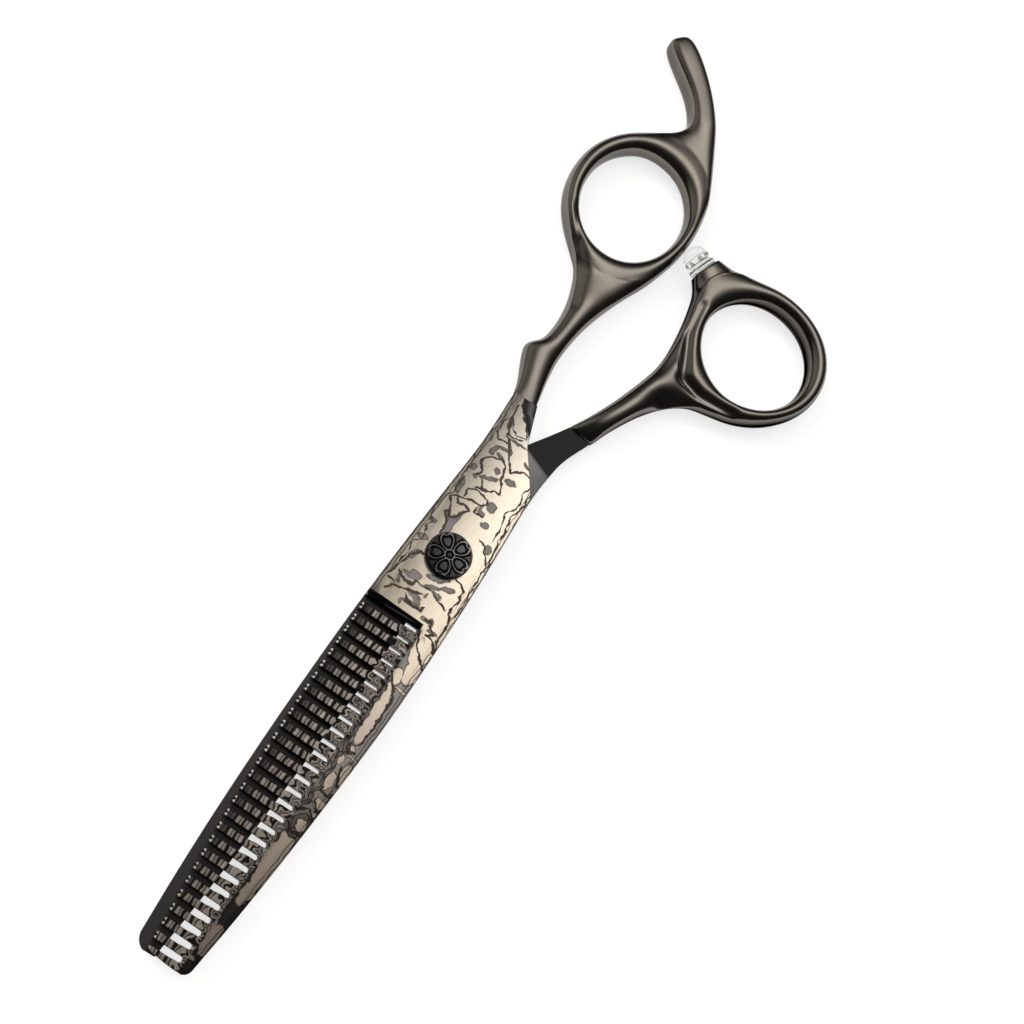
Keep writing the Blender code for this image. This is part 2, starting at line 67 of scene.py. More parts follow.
# Heights and lengths
COMB_BOTTOM, COMB_TOP = COMB_LOW.z, COMB_HIGH.z
COMB_TIP_THICKNESS = 1.2
PLAIN_BOTTOM, PLAIN_TOP = PLAIN_LOW.z, PLAIN_HIGH.z
PLAIN_TIP_THICKNESS = 1.1
TIP_Y = COMB_LOW.y
COMB_ROOT_Y = COMB_HIGH.y
PLAIN_ROOT_Y = PLAIN_HIGH.y
MID_HEIGHT = (HANDLE_LOW.z + HANDLE_HIGH.z) / 2
HALF_HEIGHT = (HANDLE_HIGH.z - HANDLE_LOW.z) / 2

# Teeth of the comb blade
TOOTH_COUNT = 28
TOOTH_PITCH = 2.2
FIRST_TOOTH_Y = -14.1
TOOTH_WIDTH = 1.2
TOOTH_TIP_THICKNESS = 0.55
BODY_END_Y = -12.3
ROOT_SLOPE = 0.5
SLOT_NARROWING = 0.42         # how much narrower the first slots are at their roots
NOTCH_HALF_WIDTH = 0.34
NOTCH_DEPTH = 0.42

# Outlines seen from above: (y, x) points of smooth edges
COMB_SPINE = [(-72.5, 3.05), (-63, 4.15), (-48.5, 5.4), (-29, 6.55), (-14, 6.75), (0, 6.55), (16, 5.85)]
COMB_TAIL = [(16, 5.85), (23.2, 0.6), (30, -1.7)]
COMB_BODY_EDGE = [(-13, -7.35), (0, -6.8), (10, -6.25), (20, -5.75), (30, -6)]
TOOTH_TIPS = [(-75, -4), (-62, -5.15), (-49, -6.15), (-32, -6.75), (-12, -7)]
SLOT_ROOTS = [(-75, 0.9), (-67, 1.2), (-55, 1.75), (-44, 2.1), (-26, 2.55), (-12, 2.6)]
PLAIN_SPINE = [(-71.6, -6.2), (-63, -6.75), (-53, -7.2), (-40, -7.5), (-29, -7.55), (-14, -7.35), (0, -6.7),
    (12, -6)]
PLAIN_TAIL = [(12, -6), (16, -4.6), (24, 0.45), (28.3, 3.1), (31.2, 4.75)]
CUTTING_EDGE = [(-73, -2.4), (-65, -1.7), (-48, -0.7), (-31, 0), (-19, 0.45), (-11.5, 0.5)]
PLAIN_BODY_EDGE = [(-11.5, 0.5), (-8, 3.2), (-4, 5.9), (0, 6.3), (10, 6.1), (17, 6.15), (20.6, 6.35),
    (25.5, 7.05), (31.2, 9.2)]
HEEL_Y = -11.5
COMB_CORNER = 1.6
PLAIN_CORNER = 2.6

TIP_BEVEL, PIVOT_BEVEL = 0.9, 1.35      # widths of the spine's bevel at the tip and at the pivot
SPINE_BEVEL_DROP = 0.14
BODY_BEVEL_WIDTH = 1.1
BODY_BEVEL_DROP = 0.25
CHAMFER_START_Y = -11.35      # the body's end chamfer, coloured black as painted shade, which leads down to the first slot
CHAMFER_DROP = 1

# Pivot hardware
PIVOT_HOLE_RADIUS = 2.5
WASHER_RECESS_RADIUS = 3.4
WASHER_RECESS_DEPTH = 1
NUT_RECESS_RADIUS = 3.95
NUT_RECESS_TOP = 1.2
CIRCLE_STEPS = 96

# Handles: ring centre, hole half axes and (angle in degrees, outer radius) stations
FINGER_RING_CENTRE = (-7.25, 71.5)
FINGER_HOLE = (9.1, 10.95)
FINGER_RING = [(0, 11.5), (22, 12.2), (42, 13.9), (70, 16.2), (100, 15.7), (118, 14.1), (137, 13.3),
    (155, 12.75), (172, 12.35), (-168, 12.25), (-148, 12.45), (-126, 12.9), (-104, 14.6), (-77, 16),
    (-50, 14.2), (-25, 12)]
THUMB_RING_CENTRE = (24.15, 61.75)
THUMB_HOLE = (9.8, 9.7)
THUMB_RING = [(0, 13), (22, 13.4), (45, 13.3), (67, 13), (90, 12.95), (110, 13.2), (130, 14.6), (152, 16.2),
    (172, 13.9), (-168, 13.1), (-136, 16), (-104, 14.8), (-82, 13.3), (-60, 12.4), (-40, 12.2), (-20, 12.6)]
# Limbs from the ring outwards: (edge point, opposite edge point, lowest z, highest z, squareness)
FINGER_SHANK = [((-9.3, 55.2), (0, 55.4), 0, 5.2, 0.84), ((-7.5, 50.8), (-1.5, 50.8), 0, 5.2, 0.84),
    ((-6.8, 46.5), (-2.5, 46.5), 0, 5.2, 0.84), ((-6.9, 42.8), (-2.9, 42.8), 0.05, 5.15, 0.84),
    ((-7.4, 40.6), (-3, 40.6), 0.1, 5.1, 0.84), ((-9.2, 39), (-3, 39.2), 0.15, 5.1, 0.84),
    ((-9, 37.6), (-2.9, 37.8), 0.3, 5.05, 0.85), ((-7.7, 34.6), (-2.5, 34.6), 0.9, 4.9, 0.84),
    ((-6.5, 31.8), (-2, 31.8), 2, 4.75, 0.85), ((-6.1, 29.8), (-1.7, 29.8), 2.75, 4.6, 0.88)]
FINGER_REST = [((-0.9, 90.2), (-7, 90.4), 0, 5.2, 0.92), ((-3.6, 94.8), (-7.9, 93.1), 0, 5.2, 0.98),
    ((-6.4, 98.4), (-9.9, 96.1), 0.05, 5.15, 1), ((-9.7, 101.9), (-13, 98.5), 0.1, 5.1, 1),
    ((-12.4, 104.2), (-15.6, 100.3), 0.1, 5.1, 1), ((-14.9, 105.9), (-18, 102.2), 0.2, 5, 1),
    ((-16.8, 106.2), (-18.9, 103.6), 0.5, 4.7, 0.96)]
THUMB_SHANK = [((11.7, 52), (17.9, 45.4), 0, 5.2, 0.84), ((11.2, 48.2), (15.8, 43.4), 0, 5.2, 0.84),
    ((9.9, 43.8), (13.7, 40.7), 0, 5.2, 0.84), ((8.4, 39.2), (12, 37.5), 0.05, 5.15, 0.84),
    ((6.5, 34.7), (10.4, 34), 0.2, 4.7, 0.84), ((5.6, 33), (9.85, 32.4), 0.4, 3.9, 0.84),
    ((4.9, 31.7), (9.4, 31.2), 0.5, 3.25, 0.86), ((4.6, 31), (9.1, 30.7), 0.7, 2.75, 0.9)]
BUMPER_BOSS = [((13, 73.1), (9.4, 65.2), 0.1, 5.1, 0.84), ((10.9, 73), (8.4, 66.9), 0.15, 5.05, 0.88),
    ((10.1, 72.85), (8, 67.5), 0.2, 5, 0.92)]
RING_SQUARENESS = 0.84
RING_SHRINKAGE = 1.03
SHANK_STATION = 12
REST_STATION = 2
THUMB_SHANK_STATION = 9
BOSS_STATION = 6
HANDLE_SUBDIVISIONS = 3
# Places in plan where the forgings are smoothed, and valleys: (start, end, half width, depth)
FINGER_JUNCTIONS = [(3.1, 80.8), (-10, 87), (-10.8, 57.3), (1.9, 60.6), (-3, 87), (-5, 57.5)]
THUMB_JUNCTIONS = [(11.3, 59), (20.6, 47.4), (14.8, 72.9), (10.4, 63.7), (14.5, 52), (12.5, 68.5)]
FINGER_VALLEYS = [((-15.5, 64.5), (-12, 59.5), 0.8, 0.3), ((-12, 59.5), (-8.3, 55), 0.9, 0.45),
    ((-8.3, 55), (-6.3, 49), 0.7, 0.3)]
THUMB_VALLEYS = [((16.5, 43.5), (31.5, 46.8), 2.8, 1.9), ((11.9, 63), (12.6, 57), 0.8, 0.4),
    ((12.6, 57), (15.9, 49.6), 0.9, 0.6), ((15.9, 49.6), (19.6, 48.6), 1, 0.9),
    ((19.6, 48.6), (26, 49.5), 1, 0.8)]

BUMPER_BASE = Vector((8.85, 70.05, MID_HEIGHT))
BUMPER_DIRECTION = Vector((-0.922, 0.388, 0)).normalized()

# Camera
CAMERA_PLACE = Vector((-13.474, -89.691, 265.855))
CAMERA_RIGHT = Vector((0.81526, 0.51834, 0.25821))
CAMERA_FORWARD = Vector((0.06377, 0.36281, -0.92968))
CAMERA_LENS = 62.07

# Soft areas of light: (direction, tint, [(cosine of the angle from that direction, brightness)])
LIGHT_AREAS = [
    ((0.05, 0.42, 0.90), (1, 0.975, 0.93),
     [(0, 0.03), (0.55, 0.04), (0.80, 0.09), (0.90, 0.32), (0.955, 0.80), (0.985, 1.9), (1, 2.3)]),
    ((-0.85, 0.12, 0.50), (0.98, 1, 0.90), [(0, 0), (0.78, 0), (0.88, 0.22), (0.96, 0.42), (1, 0.50)])]


# ---------------------------------------------------------------- curves and numbers

def smooth(points, at):
    """Value at `at` of a smooth curve through sorted (position, value) points."""
    count = len(points)
    at = min(max(at, points[0][0]), points[-1][0])
    index = max(i for i in range(count - 1) if points[i][0] <= at or i == 0)
    slopes = []
    for i in (index, index + 1):
        before = points[max(i - 1, 0)]
        after = points[min(i + 1, count - 1)]
        slopes.append((after[1] - before[1]) / (after[0] - before[0]))
    (x0, y0), (x1, y1) = points[index], points[index + 1]
    width = x1 - x0
    t = (at - x0) / width
    rise = y0 * (1 + 2 * t) * (1 - t) ** 2 + y1 * t * t * (3 - 2 * t)
    return rise + width * (slopes[0] * t * (1 - t) ** 2 - slopes[1] * t * t * (1 - t))


def clamp(value, low=0, high=1):
    return min(max(value, low), high)


def blend(a, b, t):
    """a at t = 0, b at t = 1."""
    return a + (b - a) * clamp(t)


def ease(t):
    t = clamp(t)
    return t * t * (3 - 2 * t)


def spread(start, end, step):
    """Evenly spaced values from start to end, both included, about `step` apart."""
    count = max(1, round(abs(end - start) / step))
    return [start + (end - start) * i / count for i in range(count + 1)]


def circle_points(radius, steps=CIRCLE_STEPS):
    return [(radius * cos(2 * pi * i / steps), radius * sin(2 * pi * i / steps)) for i in range(steps)]


def reach_from_tip(y):
    """0 at the blades' tips, 1 at the pivot."""
    return clamp((y - TIP_Y) / -TIP_Y)


# ---------------------------------------------------------------- shader helper

class Shader:
    """Builds the nodes of one material or world. Values are numbers, colours or other nodes' outputs."""

    def __init__(self, owner):
        owner.use_nodes = True
        self.owner = owner
        self.nodes = owner.node_tree.nodes
        self.links = owner.node_tree.links
        self.coordinates = self.nodes.new("ShaderNodeTexCoord").outputs
        self.place = self.vector("SCALE", self.coordinates["Object"], scale=1 / MM)

    def put(self, socket, value):
        if isinstance(value, bpy.types.NodeSocket):
            self.links.new(value, socket)
        elif hasattr(value, "__len__") and len(value) == 3 and socket.type == "RGBA":
            socket.default_value = (*value, 1)
        else:
            socket.default_value = value

    def node(self, kind, values=(), **settings):
        """New node with these settings and first inputs; None leaves an input as it is."""
        node = self.nodes.new("ShaderNode" + kind)
        for name, setting in settings.items():
            setattr(node, name, setting)
        for socket, value in zip(node.inputs, values):
            if value is not None:
                self.put(socket, value)
        return node

    def finish(self, colour, metallic, roughness, normal, **others):
        """Set the surface's sockets and give back the material."""
        surface = self.nodes["Principled BSDF"].inputs
        values = {"Base Color": colour, "Metallic": metallic, "Roughness": roughness, "Normal": normal}
        values.update((name.replace("_", " "), value) for name, value in others.items())
        for name, value in values.items():
            if value is not None:
                self.put(surface[name], value)
        return self.owner

    def math(self, operation, a, b=0, c=0):
        return self.node("Math", (a, b, c), operation=operation).outputs[0]

    def times(self, a, b):
        return self.math("MULTIPLY", a, b)

    def minus(self, a, b):
        return self.math("SUBTRACT", a, b)

    def vector(self, operation, a, b=None, c=None, scale=None):
        outputs = self.node("VectorMath", (a, b, c, scale), operation=operation).outputs
        return outputs[1] if operation in ("LENGTH", "DOT_PRODUCT") else outputs[0]

    def split(self, vector):
        return self.node("SeparateXYZ", (vector,)).outputs

    def join(self, x, y, z):
        return self.node("CombineXYZ", (x, y, z)).outputs[0]

    def noise(self, vector, scale, detail=2, roughness=0.5, colour=False):
        outputs = self.node("TexNoise", (vector, None, scale, detail, roughness)).outputs
        return outputs[1] if colour else outputs[0]

    def stretched_noise(self, vector, scales, detail=2):
        """Noise with its own scale per millimetre in x, y and z."""
        return self.noise(self.vector("MULTIPLY", vector, scales), 1, detail)

    def rescale(self, value, low, high, new_low=0, new_high=1, smoothly=False):
        kind = "SMOOTHSTEP" if smoothly else "LINEAR"
        values = (value, low, high, new_low, new_high)
        return self.node("MapRange", values, interpolation_type=kind).outputs[0]

    def ramp(self, value, stops):
        """Colours over value; stops are (value, colour or grey) and the value needn't be from 0 to 1."""
        low, high = stops[0][0], stops[-1][0]
        node = self.node("ValToRGB", (self.rescale(value, low, high),))
        elements = node.color_ramp.elements
        while len(elements) < len(stops):
            elements.new(0.5)
        for element, (at, colour) in zip(elements, stops):
            element.position = (at - low) / (high - low)
            element.color = (*colour, 1) if hasattr(colour, "__len__") else (colour, colour, colour, 1)
        return node.outputs[0]

    def curve(self, value, points):
        """Value of a curve through (position, value) points, such as an edge's x at this y."""
        low, high = -10, 10
        levels = self.ramp(value, [(at, (v - low) / (high - low)) for at, v in points])
        return self.rescale(levels, 0, 1, low, high)

    def mix(self, factor, a, b):
        values = (factor, None, None, None, None, None, a, b)
        return self.node("Mix", values, data_type="RGBA").outputs[2]

    def upright(self, kind="Normal"):
        """1 where the surface faces straight up or down, 0 on a wall."""
        return self.math("ABSOLUTE", self.split(self.node("NewGeometry").outputs[kind])[2])

    def bump(self, height, strength, distance_mm, normal=None):
        node = self.node("Bump")
        values = {"Height": height, "Strength": strength, "Distance": distance_mm * MM, "Normal": normal}
        for name, value in values.items():
            if value is not None:
                self.put(node.inputs[name], value)
        return node.outputs[0]

    def blobs(self, point, shapes):
        """Rough distance in mm inside the nearest ellipse (negative outside); point is (x, y, 1)."""
        result = -9
        for x, y, along, across, turn in shapes:
            width = min(along, across) / 2
            c, s = cos(radians(turn)), sin(radians(turn))
            u_scale, v_scale = sqrt(width) / across, sqrt(width) / along
            u = self.vector("DOT_PRODUCT", point, (c * u_scale, s * u_scale, -(c * x + s * y) * u_scale))
            v = self.vector("DOT_PRODUCT", point, (-s * v_scale, c * v_scale, (s * x - c * y) * v_scale))
            square = self.math("MULTIPLY_ADD", v, v, self.times(u, u))
            result = self.math("MAXIMUM", result, self.minus(width, square))
        return result


# ---------------------------------------------------------------- materials

# Etched grey patches on the land round the pivot: (x, y, half length, half width, degrees)
ETCHED_PATCHES = [(-2.6, 4.3, 1.9, 0.75, 0), (-2.2, 6.6, 1.1, 0.4, -15), (-3.6, 5.6, 0.4, 0.7, 0),
    (1.45, 10.9, 0.85, 0.8, 20), (0.5, 8.9, 0.7, 0.45, 60), (0.1, 9.6, 0.9, 0.3, 20),
    (2, 7.7, 0.6, 0.75, 15), (1.7, 16.1, 0.45, 0.9, 10), (-1.1, 16.5, 0.5, 0.5, 0),
    (-1.6, 14.8, 0.3, 1.5, 22), (-3.5, 19.3, 1, 0.45, -15), (-2.4, 20.3, 0.3, 0.9, 8),
    (-1.9, 18.8, 0.3, 0.8, -20), (-4.8, 10.9, 1.4, 0.4, 8), (-4.7, 14.9, 0.6, 0.4, 0),
    (4.6, 4.6, 0.8, 0.6, 0), (-1.3, 20.8, 0.9, 0.35, 35), (-3.7, 13.6, 0.35, 0.4, 0),
    (-1.2, 12.6, 0.3, 0.6, 25), (2.4, 20.2, 0.3, 0.8, -15), (-3.8, 24.7, 1.2, 0.3, 12),
    (-1, 22.45, 0.18, 1.7, 3), (-5.2, 3.6, 0.4, 0.6, 0), (-5, 0.4, 0.45, 0.8, 0), (0.4, -4.1, 0.5, 1.5, 18),
    (1.9, -3.5, 0.3, 0.8, 25), (-2.7, -5.7, 0.85, 1, 20), (-3.9, -6, 0.3, 0.7, -10),
    (0.8, -5.6, 0.35, 1.3, 20), (2.9, -4.6, 0.4, 1.2, 20), (1.9, -6.4, 0.35, 0.9, -15),
    (-4.5, -7.3, 0.9, 0.25, 15), (-4.7, -2.9, 1.1, 0.45, -20), (-1.1, -8.3, 0.4, 1.3, -10),
    (-0.2, -9, 0.4, 0.7, -30), (-0.7, -9.75, 0.25, 1.4, 5), (0.55, -7.5, 0.45, 0.3, -10),
    (-2.4, -10.4, 0.45, 0.3, 0), (2.4, -10.6, 0.4, 0.7, 10), (3.7, -10.6, 0.9, 0.4, 25),
    (4.5, -11.7, 0.3, 0.8, 10), (4.2, -13.9, 0.8, 0.3, 10), (3.9, -17.3, 1.8, 1.1, 0),
    (5.9, -20.6, 0.8, 1.1, 0)]
# Dark layer lines: (half width, points)
LAYER_LINES = [
    (0.14, [(-4.3, 28.2), (-4.1, 25.6), (-3.5, 23.7), (-2.9, 22.5), (-1.5, 21.3), (-1.1, 20.1), (-0.3, 19),
        (0.2, 18), (0.9, 17.7), (1.7, 18.4), (2.5, 18.9), (3.7, 18.9)]),
    (0.11, [(-3.6, 28.3), (-2.6, 27), (-1.4, 25.9), (0, 23.9)]),
    (0.11, [(-3.9, 26), (-2.9, 24.1), (-1.7, 23.6), (-0.2, 23.9)]),
    (0.11, [(-3.3, 23), (-1.9, 22.8), (-0.4, 23.3)]),
    (0.12, [(-4.6, 25.2), (-4.8, 22.6), (-4.2, 21.4), (-3.1, 21.6), (-1.9, 21.4)]),
    (0.15, [(-3.3, 15), (-3.9, 15.9), (-4.1, 16.9), (-3.4, 17.9), (-2.2, 18.4), (-1.4, 18.8), (-0.6, 17.9),
        (0, 16.6), (0.2, 15.5), (1, 14.4), (1.2, 13.4), (0.3, 13.3), (-1.3, 12.6)]),
    (0.13, [(-3.6, 13.9), (-3.2, 14.6), (-3.3, 15.2)]),
    (0.13, [(-2.5, 14), (-1.9, 13.2), (-1.4, 12.4), (-2.6, 12)]),
    (0.13, [(-3.4, 9.9), (-3.4, 11.3), (-2, 11.8), (0.3, 11.6), (0.5, 10.6), (-0.2, 10.1), (-1.6, 10),
        (-3.2, 9.5), (-4.3, 9.1), (-5.1, 8.6), (-4.4, 7.4), (-3.9, 6.3), (-4.3, 5.8)]),
    (0.15, [(-3.9, 8.9), (-3.5, 8.2), (-2.2, 8.5), (-1.3, 8.1), (-2.1, 7.2), (-2.6, 5.9), (-3.7, 5.6),
        (-3.9, 6.6)]),
    (0.13, [(-0.6, 9.7), (-0.4, 8.5), (0.9, 8.5)]),
    (0.13, [(-4.5, 5.6), (-3.6, 5.1), (-3.2, 3.9), (-3.1, 2.6)]),
    (0.12, [(2.7, 5.3), (3.8, 5), (4.3, 4), (5.9, 2.3), (5.8, 0.3), (6, -2), (6.2, -5), (6.2, -8)]),
    (0.11, [(5, 18), (4.4, 15.8), (4.6, 14.6), (4.9, 13.2), (4.1, 12.2), (3.6, 11.2), (4.4, 9.4),
        (4.5, 6.2)]),
    (0.13, [(5.6, 17.5), (5.4, 15.5), (5.4, 13), (4.7, 11.4), (5.2, 9.4), (5.3, 7), (5.9, 3.6), (6.2, 2.2)]),
    (0.13, [(3, -2.3), (4.2, -2.4), (5.1, -3.6), (5.3, -5), (5, -6.4), (5.1, -7.8), (6, -9.2), (6.1, -10.6),
        (5.7, -11.8), (6.3, -13.2), (6.8, -14.8)]),
    (0.12, [(-3.2, -1.9), (-4.1, -1.9), (-5, -3.4), (-5.8, -5.4), (-6.3, -8)]),
    (0.13, [(-2, -6.3), (-0.5, -6.4), (0.8, -6.3), (2.5, -6.9), (4.4, -7.6)]),
    (0.16, [(-5.2, -6.3), (-4.3, -6.9), (-2.3, -7.3), (-2, -6.4)]),
    (0.14, [(-5.8, -8.3), (-4.7, -8.4)]),
    (0.16, [(-5.5, -10), (-4.6, -8.9), (-2.9, -8.6), (-1.8, -8), (-0.2, -7.7)]),
    (0.14, [(-2.2, -9.1), (-1.5, -9.8), (1.2, -9.9), (1.4, -9.3)]),
    (0.14, [(2.6, -10.6), (3.6, -10.2), (4.1, -11.3), (4.8, -11.9), (4, -12.5), (5.4, -12.7), (6.9, -14.8)]),
    (0.14, [(3.2, -12.8), (3.6, -14.4), (4.5, -15.6), (5.6, -16.6), (6.7, -17.4)]),
    (0.16, [(3, -20.8), (4.2, -22.2), (5.1, -23.5), (5.3, -26), (5.2, -30), (4.9, -32.6)]),
    (0.05, [(-5.1, 30), (-5, 26.2), (-4.95, 22.2), (-5.1, 19.2)]),
    (0.05, [(-4.7, 29.8), (-4.65, 26.2), (-4.6, 22.7)]),
    (0.09, [(-5.9, 17), (-5.1, 15.1), (-5.5, 12.8), (-4.9, 10.8), (-5.1, 9.6), (-5.8, 8), (-6.2, 5.6),
        (-5.9, 4.1), (-4.9, 3.4), (-5.7, 2.3), (-5, 0.9), (-5, 0), (-5.9, -1.1), (-5.6, -3.1),
        (-6.1, -5.6)]),
    (0.06, [(-5.45, 29), (-5.3, 24.2), (-5.25, 20.2), (-5.4, 15.2), (-5.6, 12.2)]),
    (0.24, [(3.1, -22.5), (3.3, -24.5), (3, -26.2), (3.3, -29.6), (2.9, -32.6), (3.4, -34.8), (2.9, -35.8),
        (3.5, -37.6), (3.1, -39.6), (3.7, -40.8), (2.8, -42.4), (3.4, -43.6), (2.2, -45.2)]),
    (0.17, [(3.6, -33), (3.9, -34.3), (4.9, -34.2)]),
    (0.14, [(4.5, -36.8), (4.8, -38.4), (5.9, -39.8)]),
    (0.17, [(3.5, -41.2), (4.9, -41.6), (6, -41)]),
    (0.15, [(3.9, -43), (5, -44.3), (5.9, -44)]),
    (0.14, [(2.2, -45.6), (3.9, -44.6), (5.1, -45.4), (5.6, -47), (5, -48.6), (3.2, -48.7), (2.2, -47.4)]),
    (0.3, [(3.4, -48), (3.1, -46.8), (3.8, -45.9), (4.5, -45.9)]),
    (0.22, [(3.2, -49), (4.6, -49.4)]),
    (0.22, [(2.2, -49.2), (2.4, -51), (1.4, -53), (2.3, -56), (2.2, -59), (1.6, -61)]),
]
# Bright islands on the land beside the teeth, same fields as the patches
ISLANDS = [(3.95, -27.2, 5.6, 1.15, 3), (5.6, -37.6, 2, 0.75, 4), (5.9, -40.6, 1.6, 0.3, 0),
    (4, -39.5, 1.5, 0.85, 0), (4.9, -43.2, 0.8, 1, 10), (4.8, -44.9, 0.5, 0.6, 0), (3.5, -35.8, 0.9, 0.8, 0),
    (4.4, -33.9, 0.7, 0.5, 0), (4.4, -47.2, 1.1, 0.8, 0), (5.3, -34.85, 0.17, 1.5, 0),
    (5.6, -22.1, 0.22, 1.2, 0), (3.7, -53.5, 5.2, 1.6, 0), (3.4, -58.8, 3, 1.1, -8),
    (2.7, -67.9, 2.6, 1.05, 0), (1.5, -64.5, 2.4, 0.42, 12), (1.6, -71.3, 0.4, 0.9, 0),
    (4.9, -14.6, 3.6, 1.7, 0), (5.4, -18.6, 2.4, 1.2, 0), (3.8, -20.4, 1.4, 0.7, 25)]
# Bright bars across every tooth: (x, half width, brightness)
TOOTH_BARS_LEFT = [(-5.8, 0.1, 0.06), (-5.28, 0.16, 0.08), (-4.38, 0.2, 0.3), (-3.84, 0.11, 0.26),
    (-3.06, 0.13, 0.28), (-2.5, 0.21, 0.4)]
TOOTH_BARS_RIGHT = [(-1.54, 0.15, 0.3), (-0.82, 0.24, 0.4), (0.35, 0.16, 0.38), (1, 0.13, 0.26),
    (1.7, 0.2, 0.38), (2.45, 0.16, 0.28)]


def strokes(half_width, points):
    """Long thin ellipses along a line through these points."""
    pieces = []
    for (x0, y0), (x1, y1) in zip(points, points[1:]):
        length = hypot(x1 - x0, y1 - y0)
        turn = degrees(atan2(x0 - x1, y1 - y0))
        pieces.append(((x0 + x1) / 2, (y0 + y1) / 2, length * 0.5 + half_width * 1.3, half_width, turn))
    return pieces


